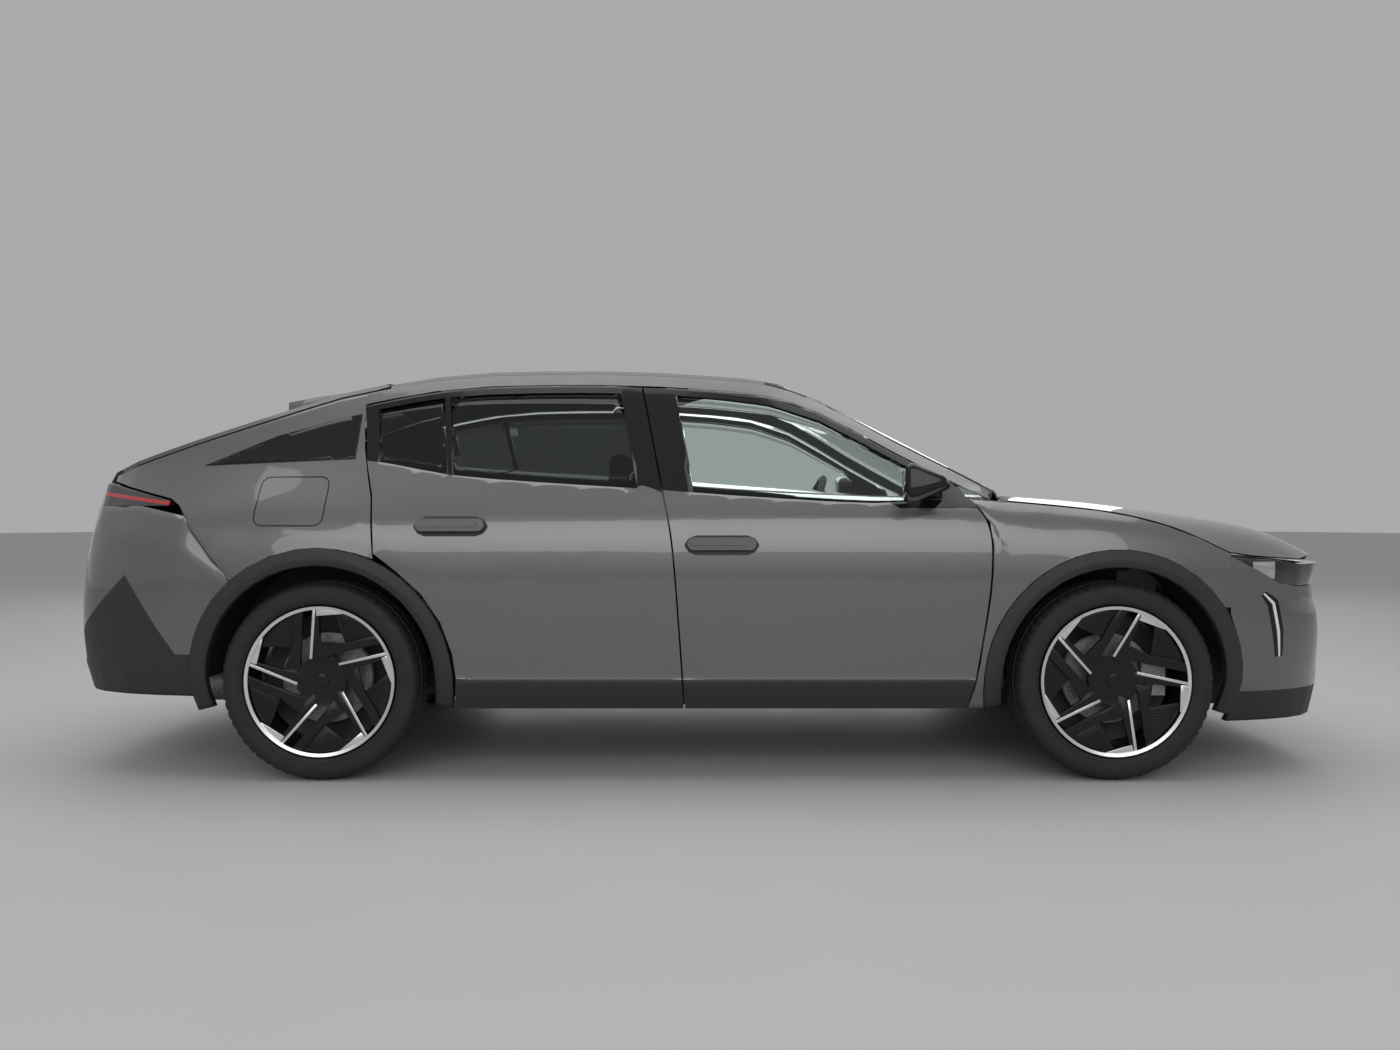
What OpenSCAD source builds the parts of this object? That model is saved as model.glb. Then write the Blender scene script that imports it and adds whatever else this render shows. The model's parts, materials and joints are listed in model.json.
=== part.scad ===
/* [Overall] */
// Distance between the axles
wheelbase = 2790; // [2700:10:2860]
// Nose to front axle
front_overhang = 890; // [850:5:940]
// Rear axle to tail
rear_overhang = 1010; // [960:5:1060]
// Body width without mirrors
body_width = 1850; // [1790:5:1910]
// Height of the roof's top
roof_h = 1490; // [1460:2:1530]
/* [Heights] */
// Lower edge of the doors and sills
sill_h = 250; // [230:2:270]
// Top of the dark sill cladding
clad_h = 353; // [335:2:370]
// Belt line at the middle of the front door
belt_h = 980; // [960:2:1000]
// Rear end of the bonnet on the centre line
bonnet_h = 1006; // [985:2:1020]
/* [Wheels] */
// Outer radius of a tyre
tyre_r = 350; // [335:1:360]
// Width of a tyre
tyre_w = 225; // [205:5:245]
// Radius of the bead seat
rim_r = 266; // [250:1:275]
// Distance of a tyre's middle plane from the car's middle plane
half_track = 778; // [765:1:790]
// Radius of the front wheel opening
front_opening_r = 402; // [395:1:412]
// Radius of the rear wheel opening
rear_opening_r = 408; // [398:1:418]
// Width of the arch cladding
arch_band = 62; // [45:1:75]
/* [Panels] */
// Gap between a door or lid and its neighbours
shut_gap = 6; // [5:0.5:9]
// Thickness of a door's edge flange
flange_t = 14; // [12:0.5:16]
// Thickness of a door's middle
door_t = 105; // [85:1:115]
// Thickness of the window frames
frame_t = 38; // [30:1:44]
// Height of the window frame over the glass
frame_h = 26; // [20:1:32]
// Height of the cant rail and A-pillar
rail_h = 42; // [34:1:52]
// Thickness of fixed outer panels
panel_t = 40; // [28:1:50]
// Thickness of glass
glass_t = 6; // [4:0.5:8]
// Gap between fixed pieces that seat on each other
seat_gap = 0.3; // [0.2:0.05:0.6]
/* [Hinges] */
// Distance of a door's hinge axis ahead of its edge
hinge_ahead = 50; // [46:1:60]
// Distance of the door hinge axis inside the widest skin
hinge_inset = 54; // [50:0.5:58]
// Radius of the hinge pins
pin_r = 5; // [4:0.25:6]
// Running clearance round a pin
pin_gap = 0.3; // [0.2:0.05:0.5]
/* [Hidden] */
$fn = 48;

car_length = front_overhang + wheelbase + rear_overhang;
nose_x = car_length / 2;
front_axle_x = nose_x - front_overhang;
rear_axle_x = front_axle_x - wheelbase;
half_w = body_width / 2;
axle_z = tyre_r;
paint = [0.36, 0.35, 0.34];
dark = [0.08, 0.08, 0.09];
tint = [0.12, 0.16, 0.15];
metal = [0.62, 0.63, 0.65];
trim = [0.14, 0.14, 0.15];

function lerp(a, b, t) = a + (b - a) * t;
function clamp(v, lo, hi) = max(lo, min(hi, v));
function steps(n) = [for (i = [0 : n]) i / n];

// Smooth curve through points in order of their first coordinate, straight beyond its ends
function span_of(p, x, i = 0) = i >= len(p) - 2 || x < p[i + 1][0] ? i : span_of(p, x, i + 1);
function slope(p, i) =
    let (a = max(i - 1, 0), b = min(i + 1, len(p) - 1)) (p[b][1] - p[a][1]) / (p[b][0] - p[a][0]);
function hermite(p, i, t) =
    let (h = p[i + 1][0] - p[i][0], m0 = slope(p, i) * h, m1 = slope(p, i + 1) * h)
    (2 * t^3 - 3 * t^2 + 1) * p[i][1] + (t^3 - 2 * t^2 + t) * m0
    + (3 * t^2 - 2 * t^3) * p[i + 1][1] + (t^3 - t^2) * m1;
function curve(p, x) =
    let (n = len(p) - 1, i = span_of(p, x))
    x < p[0][0] ? p[0][1] + slope(p, 0) * (x - p[0][0])
    : x > p[n][0] ? p[n][1] + slope(p, n) * (x - p[n][0])
    : hermite(p, i, (x - p[i][0]) / (p[i + 1][0] - p[i][0]));

// Stations along the car: -2 tail, -1 rear axle, 1 front axle, 2 nose
function station(x) =
    x > front_axle_x ? 1 + (x - front_axle_x) / front_overhang
    : x < rear_axle_x ? (x - rear_axle_x) / rear_overhang - 1
    : 2 * (x - rear_axle_x) / wheelbase - 1;
function place(u) =
    u > 1 ? front_axle_x + (u - 1) * front_overhang
    : u < -1 ? rear_axle_x + (u + 1) * rear_overhang
    : lerp(rear_axle_x, front_axle_x, (u + 1) / 2);

// Lines of the side view: height over the station
function roof_line(x) =
    roof_h - curve([[-1.916, 392], [-1.56, 268], [-1.2, 140], [-0.736, 35], [-0.22, 0],
                    [0.08, 33], [0.3, 112]], station(x));
function bonnet_line(x) =
    bonnet_h - curve([[0.833, 0], [1.03, 22], [1.42, 69], [1.64, 98], [1.78, 128], [1.9, 178], [1.98, 236]],
                     station(x));
function bonnet_edge(x) =
    bonnet_h - curve([[0.64, 12], [1, 62], [1.28, 130], [1.44, 202], [1.62, 222], [1.8, 234], [1.95, 243]],
                     station(x));
function belt(x) =
    belt_h + curve([[-1.41, 168], [-1.1, 156], [-0.89, 146], [-0.66, 92], [-0.14, 41], [0.06, 20],
                    [0.415, -5], [0.64, 20]], station(x));
function glass_top(x) =
    belt_h + curve([[-1.41, 172], [-0.93, 330], [-0.71, 387], [-0.51, 402], [-0.24, 402], [0, 383],
                    [0.134, 360], [0.268, 298], [0.458, 149], [0.551, 79], [0.632, 20]], station(x));
function door_top(x) = glass_top(x) + frame_h;
function rail_low(x) = door_top(x) + shut_gap;
function rail_top(x) = rail_low(x) + rail_h;
crown_drop = 24;
function edge_line(x) = x < place(-0.93) ? min(rail_top(x), roof_line(x) - crown_drop) : rail_top(x);

// Plan and section of the flank
function flank_inset(z) =
    curve([[180, 125], [sill_h, 86], [clad_h, 40], [520, 17], [680, 3], [820, 7], [920, 28], [1010, 78],
           [1200, 184], [1385, 284], [1500, 360]], z);
function front_reach(z) =
    nose_x + curve([[185, -4], [370, 0], [555, 0], [660, -36], [771, -12], [842, -100], [909, -310],
                    [956, -610], [bonnet_h, -1080], [1091, -1250], [1252, -1580], [1379, -1860],
                    [1500, -2100]], z);
function rear_reach(z) =
    nose_x + curve([[185, -30], [320, -25], [416, -6], [583, 0], [884, -44], [1000, -60], [1101, -60],
                    [1200, 12]], z);
plan_power = 6;
rear_taper = 0.1;
function plan(x, z) =
    let (reach = x > 0 ? front_reach(z) : rear_reach(z), q = clamp(abs(x) / reach, 0, 0.9985))
    pow(1 - pow(q, plan_power), 1 / plan_power);
function taper(x, z) =
    1 - rear_taper * clamp((z - 900) / 250, 0, 1) * pow(clamp((-x - 500) / 1500, 0, 1.2), 2);
function flank_y(x, z) = (half_w - flank_inset(z)) * plan(x, z) * taper(x, z);
function skin(x, z, depth = 0) = [x, -(flank_y(x, z) - depth), z];

// Shut lines: place along the car over the height
function b_line(z) = place(-0.084) + curve([[sill_h, 0], [475, -14], [842, -44], [1017, -77], [1381, -154]], z);
function a_line(z) =
    front_axle_x + curve([[sill_h, -512], [368, -488], [501, -470], [659, -448], [807, -440],
                          [903, -446], [948, -477], [1000, -514], [1040, -545]], z);
door_arch_r = rear_opening_r + arch_band + shut_gap;
function c_line(z) =
    let (arch = rear_axle_x + sqrt(max(0, door_arch_r^2 - (z - axle_z)^2)),
         upper = rear_axle_x + curve([[780, 196], [862, 191], [1004, 171], [1138, 128], [1310, 100],
                                      [1345, 95]], z))
    z > 790 ? upper : max(arch, rear_axle_x + 196);

// Closed wall between an outer and an inner grid of points; cells that are not kept stay open
module shell(outer, inner, keep = undef) {
    rows = len(outer) - 1;
    cols = len(outer[0]) - 1;
    count = (rows + 1) * (cols + 1);
    points = concat([for (r = outer) each r], [for (r = inner) each r]);
    function at(i, j) = i * (cols + 1) + j;
    function kept(i, j) =
        i >= 0 && j >= 0 && i < rows && j < cols && (is_undef(keep) ? true : keep[i][j]);
    function quad(a, b, c, d) = [[a, b, c], [a, c, d]];
    function wall(a, b) = quad(a, b, b + count, a + count);
    faces = [
        for (i = [0 : rows - 1], j = [0 : cols - 1]) if (kept(i, j)) each concat(
            quad(at(i, j), at(i + 1, j), at(i + 1, j + 1), at(i, j + 1)),
            quad(at(i, j) + count, at(i, j + 1) + count, at(i + 1, j + 1) + count, at(i + 1, j) + count),
            kept(i - 1, j) ? [] : wall(at(i, j), at(i, j + 1)),
            kept(i + 1, j) ? [] : wall(at(i + 1, j + 1), at(i + 1, j)),
            kept(i, j - 1) ? [] : wall(at(i + 1, j), at(i, j)),
            kept(i, j + 1) ? [] : wall(at(i, j + 1), at(i + 1, j + 1)))
    ];
    polyhedron(points, faces, convexity = 8);
}
module other_side() { mirror([0, 1, 0]) children(); }

// Doors: rows from the sill to the window frame, columns as shares of the way from the rear edge to the front edge
clad_proud = 8;
bevel = 12;
hinge_bevel = 24;
edge_roll = 2;
frame_row = 12;
glass_depth = 12;
door_low_rows = [sill_h, clad_h, clad_h + 10, 450, 560, 660, 740, 800, 860, 920];
function door_rows(x) = concat(door_low_rows, [(885 + belt(x)) / 2, belt(x) - 35, belt(x), glass_top(x), door_top(x)]);
door_row_t = [38, 52, 70, door_t, door_t, door_t, door_t, door_t, door_t, 90, 76, 62, frame_t,
              frame_t, frame_t];
top_row = len(door_row_t) - 1;
front_shares = [0, 0.1, 0.115, 0.24, 0.4, 0.56, 0.7, 0.83, 0.93, 0.95, 1];
front_window = [1, 7];
rear_shares = [0, 0.045, 0.085, 0.18, 0.28, 0.3, 0.45, 0.6, 0.76, 0.92, 0.93, 1];
rear_window_cols = [5, 9];
quarter_window = [1, 4];
front_rear_edge = [for (i = [0 : top_row]) b_line(door_rows(b_line(1200))[i]) + shut_gap / 2];
front_front_edge = [for (i = [0 : top_row]) a_line(door_rows(a_line(1000))[i]) - shut_gap / 2];
rear_rear_edge = [for (i = [0 : top_row]) c_line(door_rows(c_line(1200))[i]) + shut_gap / 2];
rear_front_edge = [for (i = [0 : top_row]) b_line(door_rows(b_line(1200))[i]) - shut_gap / 2];

function door_xz(rear, front, share, i) =
    let (x = lerp(rear[i], front[i], share)) [x, door_rows(x)[i]];
function door_outer(rear, front, shares) =
    [for (i = [0 : top_row]) [for (s = shares)
        let (p = door_xz(rear, front, s, i)) skin(p[0], p[1], (i < 2 ? -clad_proud : 0) + (s == 0 || s == 1 ? edge_roll : 0))]];
function door_inner(rear, front, shares) =
    [for (i = [0 : top_row]) [for (j = [0 : len(shares) - 1])
        let (p = door_xz(rear, front, shares[j], i),
             last = len(shares) - 1,
             edge = j < 2 || j > last - 2,
             depth = edge && i < frame_row ? min(flange_t, door_row_t[i]) : door_row_t[i],
             x = p[0] + (j == 0 ? bevel : j == last ? -hinge_bevel : 0),
             z = p[1] + (i == 0 ? bevel : i == top_row ? -bevel / 2 : 0),
             at = skin(p[0], p[1], depth))
        [x, at[1], z]]];
function in_cols(j, cols) = j >= cols[0] && j < cols[1];
function door_mask(shares, windows) =
    [for (i = [0 : top_row - 1]) [for (j = [0 : len(shares) - 2])
        i != frame_row || len([for (w = windows) if (in_cols(j, w)) 1]) == 0]];

// Hinges: a cranked arm on the door turns on a pin between two lugs on the pillar
hinge_y = half_w - hinge_inset;
hinge_heights = [665, 785];
hinge_h = 40;
lug_h = 9;
lug_gap = 0.5;
eye_r = pin_r + 4;
pillar_inset = 118;
pillar_face = hinge_inset - pillar_inset;
arm_low = pillar_face + 10;
front_hinge_x = max(front_front_edge) + hinge_ahead;
rear_hinge_x = rear_front_edge[5] + hinge_ahead;
pad_gap = 0.8;
function pad_out(hx, z) =
    min([for (dz = [-hinge_h, hinge_h] / 2, dx = [-40, -5])
        flank_y(hx - hinge_ahead + dx, z + dz)]) - flange_t - pad_gap - hinge_y;
pad_l = 18;
pad_back = hinge_inset - 28;
module hinge_arms(hx, edge) {
    for (z = hinge_heights) {
        back = edge - hx - pad_back;
        translate([hx, -hinge_y, z - hinge_h / 2]) mirror([0, 1, 0]) linear_extrude(hinge_h)
        difference() {
            union() {
                circle(eye_r);
                translate([-eye_r, arm_low]) square([2 * eye_r, -arm_low]);
                translate([back - pad_l, arm_low]) square([eye_r - back + pad_l, 14]);
                translate([back - pad_l, arm_low]) square([pad_l, pad_out(hx, z) - arm_low]);
            }
            circle(pin_r + pin_gap);
        }
    }
}
module hinge_lugs(hx) {
    reach = hinge_h / 2 + lug_gap;
    for (z = hinge_heights) translate([hx, -hinge_y, z]) mirror([0, 1, 0]) {
        cylinder(r = pin_r, h = 2 * (reach + lug_h), center = true);
        for (s = [reach, -reach - lug_h]) translate([0, 0, s]) linear_extrude(lug_h) {
            circle(eye_r);
            translate([-eye_r, pillar_face]) square([2 * eye_r, -pillar_face]);
        }
        translate([-eye_r, pillar_face, -reach - lug_h]) cube([2 * eye_r, 8, 2 * (reach + lug_h)]);
    }
}
handle_l = 238;
handle_h = 44;
handle_t = 20;
module handle(x, z, sag = 0) {
    half = (handle_l - handle_h) / 2;
    out = max([for (e = [-half, half]) flank_y(x + e, z - handle_h / 2)]) + seat_gap - sag;
    color(paint) translate([x, -out, z]) rotate([90, 0, 0]) linear_extrude(handle_t) {
        square([2 * half, handle_h], center = true);
        for (e = [-half, half]) translate([e, 0]) circle(d = handle_h);
    }
}
module front_door() {
    color(paint) shell(door_outer(front_rear_edge, front_front_edge, front_shares),
                       door_inner(front_rear_edge, front_front_edge, front_shares),
                       door_mask(front_shares, [front_window]));
    color(metal) hinge_arms(front_hinge_x, front_front_edge[6]);
    handle(place(0.01), 835);
}
module rear_door() {
    color(paint) shell(door_outer(rear_rear_edge, rear_front_edge, rear_shares),
                       door_inner(rear_rear_edge, rear_front_edge, rear_shares),
                       door_mask(rear_shares, [rear_window_cols, quarter_window]));
    color(metal) hinge_arms(rear_hinge_x, rear_front_edge[6]);
    handle(place(-0.667), 900, 1.2);
}
module pane(rear, front, shares, cols) {
    picked = [for (j = [cols[0] : cols[1]]) shares[j]];
    last = len(picked) - 1;
    function point(v, j, depth) =
        let (low = door_xz(rear, front, picked[j], frame_row),
             high = door_xz(rear, front, picked[j], frame_row + 1),
             x = lerp(low[0], high[0], v) + (j == 0 ? seat_gap : j == last ? -seat_gap : 0),
             z = lerp(low[1] + seat_gap, high[1] - seat_gap, v))
        skin(x, z, depth);
    shell([for (v = [0, 0.5, 1]) [for (j = [0 : last]) point(v, j, glass_depth)]],
          [for (v = [0, 0.5, 1]) [for (j = [0 : last]) point(v, j, glass_depth + glass_t)]]);
}
module front_glass() { color(tint) pane(front_rear_edge, front_front_edge, front_shares, front_window); }
module rear_glass() {
    color(tint) {
        pane(rear_rear_edge, rear_front_edge, rear_shares, rear_window_cols);
        pane(rear_rear_edge, rear_front_edge, rear_shares, quarter_window);
    }
}

// Side frame: hinge pillar, B-pillar, A-pillar with cant rail, and the hinge lugs
sill_top = 380;
sill_out = 775;
rail_depth = 55;
rail_stations = [-0.93, -0.87, -0.75, -0.6, -0.45, -0.3, -0.15, 0, 0.08, 0.134, 0.2, 0.268, 0.36, 0.458,
                 0.551, 0.632, 0.69];
module cant_rail() {
    levels = [0, 0.5, 1];
    function point(v, u, depth) =
        let (x = place(u), z = lerp(rail_low(x), rail_top(x), v)) skin(x, z, depth);
    shell([for (v = levels) [for (u = rail_stations) point(v, u, 0)]],
          [for (v = levels) [for (u = rail_stations) point(v, u, rail_depth)]]);
}
module b_pillar() {
    face = hinge_y + pillar_face - seat_gap;
    head = rail_low(b_line(1400)) - 1;
    stations = [[sill_top + seat_gap, 790, 36, 75], [480, face, 36, 75], [900, face, 36, 75],
                [1030, 0, 36, 52], [1200, 0, 46, 46], [head, 0, 46, 46]];
    function out(s) = s[1] > 0 ? s[1] : flank_y(b_line(s[0]), s[0]) - frame_t - 12;
    function row(depth) = [for (s = stations)
        [for (x = [b_line(s[0]) - s[2], b_line(s[0]) + s[3]]) [x, -(out(s) - depth), s[0]]]];
    shell(row(0), row(56));
}
pillar_step = 560;
pillar_top = 940;
module hinge_pillar() {
    face = hinge_y + pillar_face - seat_gap;
    depth = face - cowl_half - seat_gap;
    translate([front_hinge_x - 60, -face, sill_top + seat_gap]) cube([44, depth, pillar_step + 1 - sill_top]);
    translate([front_hinge_x - 20, -face, pillar_step]) cube([70, depth, pillar_top - pillar_step]);
}
module bonnet_lugs() {
    top = pillar_top - 1;
    translate([bonnet_hinge_x, -bonnet_hinge_y, 0]) {
        translate([0, 0, bonnet_hinge_z]) rotate([90, 0, 0])
            cylinder(r = pin_r, h = hinge_leaf + 2 * lug_gap + 2 * lug_h, center = true);
        for (s = [0, 1]) mirror([0, s, 0]) translate([0, hinge_leaf / 2 + lug_gap, 0]) {
            translate([-eye_r, 0, top]) cube([2 * eye_r, lug_h, bonnet_hinge_z - top]);
            translate([0, 0, bonnet_hinge_z]) rotate([-90, 0, 0]) cylinder(r = eye_r, h = lug_h);
        }
    }
}
module fender_bracket() {
    x = front_hinge_x + 24;
    z = 690;
    out = min(flank_y(x, z), flank_y(x + 24, z + 40)) - flange_t - pad_gap;
    translate([x, -out, z]) cube([24, out - hinge_y - pillar_face + 1, 40]);
}
module side_frame() {
    color(paint) cant_rail();
    color(dark) b_pillar();
    color(paint) hinge_pillar();
    color(metal) bonnet_lugs();
    color(metal) fender_bracket();
    color(metal) hinge_lugs(front_hinge_x);
    color(metal) hinge_lugs(rear_hinge_x);
}

// Rear quarter: from the rear door's edge over the arch to the tail lip
quarter_arch_r = rear_opening_r + arch_band + seat_gap;
cut_station = -1.305;
quarter_shares = [0, 0.08, 0.2, 0.35, 0.5, 0.65, 0.8, 0.92, 1];
quarter_xs = concat([for (d = [186, 135, 75]) rear_axle_x + d],
                    [for (u = [0, 0.075, 0.163, 0.243, 0.305, 0.381, 0.45, 0.519, 0.56, 0.66, 0.757, 0.86])
                        place(-1 - u)]);
quarter_blend = [1, 0.55, 0.2];
function arch_z(x, r) = axle_z + sqrt(max(0, r^2 - (x - rear_axle_x)^2));
function quarter_low(x) =
    let (cut = arch_z(place(cut_station), quarter_arch_r))
    station(x) > cut_station ? arch_z(x, quarter_arch_r)
    : lookup(station(x), [[-1.88, 1062], [-1.56, 992], [-1.519, 968], [cut_station, cut]]);
function quarter_point(j, share, depth) =
    let (x0 = quarter_xs[j], rail_end = place(-0.93) - seat_gap,
         top_x = x0 + (j < 3 ? (rail_end - quarter_xs[0]) * quarter_blend[j] : 0),
         z = lerp(quarter_low(x0), edge_line(top_x), share),
         edge = share > 0.9 || z > 1290 ? rail_end : c_line(z) - shut_gap / 2,
         x = x0 + (j < 3 ? (edge - quarter_xs[0]) * quarter_blend[j] : 0))
    skin(x, z, depth);
module quarter() {
    color(paint) shell(
        [for (s = quarter_shares) [for (j = [len(quarter_xs) - 1 : -1 : 0]) quarter_point(j, s, 0)]],
        [for (s = quarter_shares) [for (j = [len(quarter_xs) - 1 : -1 : 0])
            let (p = quarter_point(j, s, panel_t)) [p[0] - (j == 0 && s < 0.9 ? bevel : 0), p[1], p[2]]]]);
}

// Front fender: lofted from the arch to the door line, the bonnet edge and the lamp
fender_arch_r = front_opening_r + arch_band + seat_gap;
fender_cut = 1.457;
function fender_arch(angle) =
    [front_axle_x + fender_arch_r * cos(angle), axle_z + fender_arch_r * sin(angle)];
fender_shares = [0, 0.12, 0.35, 0.65, 0.88, 1];
low_angle = 180 + asin((axle_z - sill_h) / fender_arch_r);
cut_angle = 34;
fender_front = 18;
fender_top_z = bonnet_edge(a_line(985)) - shut_gap / 2;
fender_inner_line = concat(
    [for (t = steps(9)) fender_arch(lerp(low_angle, 125, t))],
    [for (t = steps(8)) if (t > 0) fender_arch(lerp(125, 62, t))],
    [for (t = steps(3)) if (t > 0) fender_arch(lerp(62, cut_angle, t))]);
fender_outer_line = concat(
    [for (t = steps(9)) let (z = lerp(sill_h, fender_top_z, t)) [a_line(z) + shut_gap / 2, z]],
    [for (t = steps(8)) if (t > 0)
        let (x = lerp(a_line(fender_top_z) + shut_gap / 2, place(fender_cut), t))
        [x, bonnet_edge(x) - shut_gap / 2]],
    [for (t = steps(3)) if (t > 0)
        [place(fender_cut), lerp(bonnet_edge(place(fender_cut)) - shut_gap / 2,
                                 fender_arch(cut_angle)[1], t)]]);
function fender_point(k, share, depth) =
    let (p = lerp(fender_inner_line[k], fender_outer_line[k], share)) skin(p[0], p[1], depth);
module fender() {
    last = len(fender_inner_line) - 1;
    color(paint) shell(
        [for (s = fender_shares) [for (k = [0 : last]) fender_point(k, s, 0)]],
        [for (s = fender_shares) [for (k = [0 : last])
            let (p = fender_point(k, s, flange_t), rim = s == 1 ? bevel : 0)
            k < 10 ? p + [rim, 0, 0] : k < fender_front ? p - [0, 0, rim] : p]]);
}

// Roof: rests on the cant rails from the tailgate hinge to the windscreen header
across = [for (i = [8 : -1 : -8]) sign(i) * pow(abs(i) / 8, 0.8)];
roof_first = 1;
roof_last = 9;
header_bulge = 183;
roof_edge_t = 12;
roof_t = 26;
crown_power = 2.4;
function roof_edge_y(x) = flank_y(x, rail_top(x)) - 4;
function roof_point(k, t, under) =
    let (x0 = place(rail_stations[k]), n = (k - roof_first) / (roof_last - roof_first),
         x = x0 + header_bulge * n^2 * (1 - t^2),
         low = rail_top(x0) + seat_gap + roof_edge_t,
         z = lerp(low, roof_line(x), 1 - pow(abs(t), crown_power)))
    [x, t * roof_edge_y(x0), z - (under ? lerp(roof_edge_t, roof_t, clamp((0.86 - abs(t)) / 0.3, 0, 1)) : 0)];
module roof_panel() {
    color(paint) shell([for (k = [roof_first : roof_last]) [for (t = across) roof_point(k, t, false)]],
                       [for (k = [roof_first : roof_last]) [for (t = across) roof_point(k, t, true)]]);
}

// Windscreen: bonded to the A-pillars and the header
screen_foot_x = place(0.829);
screen_bulge = 14;
function screen_point(k, t, under) =
    let (first = place(rail_stations[roof_last]), x0 = place(rail_stations[k]),
         s = (x0 - first) / (place(0.69) - first),
         head_x = first + header_bulge + 8,
         xc = lerp(head_x, screen_foot_x, s),
         zc = lerp(roof_line(head_x - 8), bonnet_h - 2, s) + screen_bulge * 4 * s * (1 - s),
         xe = x0 + (k == roof_last ? 6 : 0), ze = rail_top(x0) + seat_gap + glass_t,
         w = 1 - t^2)
    [lerp(xe, xc, w), t * (flank_y(x0, rail_top(x0)) - 8), lerp(ze, zc, w) - (under ? glass_t : 0)];
module windscreen() {
    last = len(rail_stations) - 1;
    color(tint) shell([for (k = [roof_last : last]) [for (t = across) screen_point(k, t, false)]],
                      [for (k = [roof_last : last]) [for (t = across) screen_point(k, t, true)]]);
}

// Bonnet: rear edge ahead of the screen, front edge over the lamps and the bumper
bonnet_t = 24;
bonnet_edge_t = 5;
bonnet_lip = 22;
bonnet_stations = [0.735, 0.8, 0.88, 0.97, 1.06, 1.15, 1.25, 1.35, 1.45, 1.55, 1.66, 1.77];
bonnet_rear_x = place(0.85);
bonnet_front_x = place(1.945);
bonnet_hinge_x = place(0.724);
bonnet_hinge_z = bonnet_edge(place(0.735)) - 6;
function bonnet_point(k, t, under) =
    let (n = k / (len(bonnet_stations) - 1), xe = place(bonnet_stations[k]),
         xc = lerp(bonnet_rear_x, bonnet_front_x, n),
         x = lerp(xe, xc, 1 - pow(abs(t), lerp(2, 6, n))),
         low = bonnet_edge(xe) + shut_gap / 2,
         z = lerp(low, bonnet_line(xc), 1 - pow(abs(t), 5)))
    [x, t * (flank_y(xe, bonnet_edge(xe)) - (under ? bonnet_lip : 0)),
     z - (under ? lerp(bonnet_edge_t, bonnet_t, 1 - pow(abs(t), 8)) : 0)];
module bonnet() {
    last = len(bonnet_stations) - 1;
    color(paint) shell([for (k = [0 : last]) [for (t = across) bonnet_point(k, t, false)]],
                       [for (k = [0 : last]) [for (t = across) bonnet_point(k, t, true)]]);
    color(metal) for (s = [-1, 1]) translate([bonnet_hinge_x, s * bonnet_hinge_y, bonnet_hinge_z])
        rotate([90, 0, 0]) linear_extrude(hinge_leaf, center = true) difference() {
            a = bonnet_pad(0);
            b = bonnet_pad(1);
            union() {
                circle(eye_r);
                polygon([[0, -eye_r], [b[0], b[1] - 18], b, [a[0] + 2, a[1]], [0, eye_r]]);
            }
            circle(pin_r + pin_gap);
        }
}
function bonnet_pad(k) =
    let (x = place(bonnet_stations[k]),
         p = bonnet_point(k, bonnet_hinge_y / (flank_y(x, bonnet_edge(x)) - bonnet_lip), true))
    [p[0] - bonnet_hinge_x, p[2] - bonnet_hinge_z - pad_gap];
bonnet_hinge_y = 785;
hinge_leaf = 8;

// Ends of the car: points round the nose and the tail, from the wheel arch to the middle
end_shares = [0, 0.2, 0.4, 0.58, 0.72, 0.84, 0.93, 1];
side_shares = [0.7, 0.35, 0];
end_last = len(end_shares) + len(side_shares) - 1;
nose_corner = place(1.78);
tail_corner = place(-1.83);
bumper_t = 36;
lamp_low = 676;
nose_low = 190;
tail_low = 290;
tail_top = 965;
function half_at(z) = half_w - flank_inset(z);
function wrap(x, y, z, depth) =
    let (reach = x > 0 ? front_reach(z) : rear_reach(z), w = half_at(z),
         nx = sign(x) * pow(abs(x) / reach, 5) / reach, ny = sign(y) * pow(abs(y) / w, 5) / w,
         n = sqrt(nx^2 + ny^2))
    [x - depth * nx / n, y - depth * ny / n, z];
function inward(p, depth, along) =
    along == 0 ? [p[0] - sign(p[0]) * depth, p[1], p[2]]
    : along == 1 ? wrap(p[0], p[1], p[2], depth)
    : [p[0], p[1] - sign(p[1]) * depth, p[2]];
function end_x(y, z, reach) = reach * pow(1 - pow(abs(y) / half_at(z), plan_power), 1 / plan_power);
function nose_top(x) = lookup(station(x), [[fender_cut, bonnet_edge(place(fender_cut)) - 12], [1.71, lamp_low]]);
function nose_row(r, top) = r <= 1 ? lerp(nose_low, top, r) : lamp_low + (r - 1) * 400;
function nose_start(z) =
    max(place(fender_cut) + seat_gap, front_axle_x + sqrt(max(0, fender_arch_r^2 - (z - axle_z)^2)));
function nose_point(c, r, depth) =
    let (i = abs(c), n = len(end_shares), front = i < n,
         guess = front ? nose_corner : lerp(place(fender_cut), nose_corner, side_shares[i - n]),
         z = nose_row(r, front ? lamp_low : nose_top(guess)),
         x = front ? 0 : lerp(nose_start(z), nose_corner, side_shares[i - n]),
         y = sign(c) * (front ? end_shares[i] * flank_y(nose_corner, z) : flank_y(x, z)))
    inward([front ? end_x(y, z, front_reach(z)) : x, y, z], depth, front ? 1 : 2);
nose_rows = [0, 0.12, 0.24, 0.38, 0.52, 0.66, 0.8, 0.92, 1, 1.1, 1.2];
function nose_kept(i, c) =
    let (far = max(abs(c), abs(c + 1)))
    i >= 8 ? far <= 4 : i >= 3 && i <= 6 ? far > 3 : i == 1 ? far > 5 : true;
module front_bumper() {
    cols = [for (c = [-end_last : end_last]) c];
    color(paint) shell([for (r = nose_rows) [for (c = cols) nose_point(c, r, 0)]],
                       [for (r = nose_rows) [for (c = cols) nose_point(c, r, bumper_t)]],
                       [for (i = [0 : len(nose_rows) - 2]) [for (c = [-end_last : end_last - 1]) nose_kept(i, c)]]);
}
slats = 6;
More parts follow.
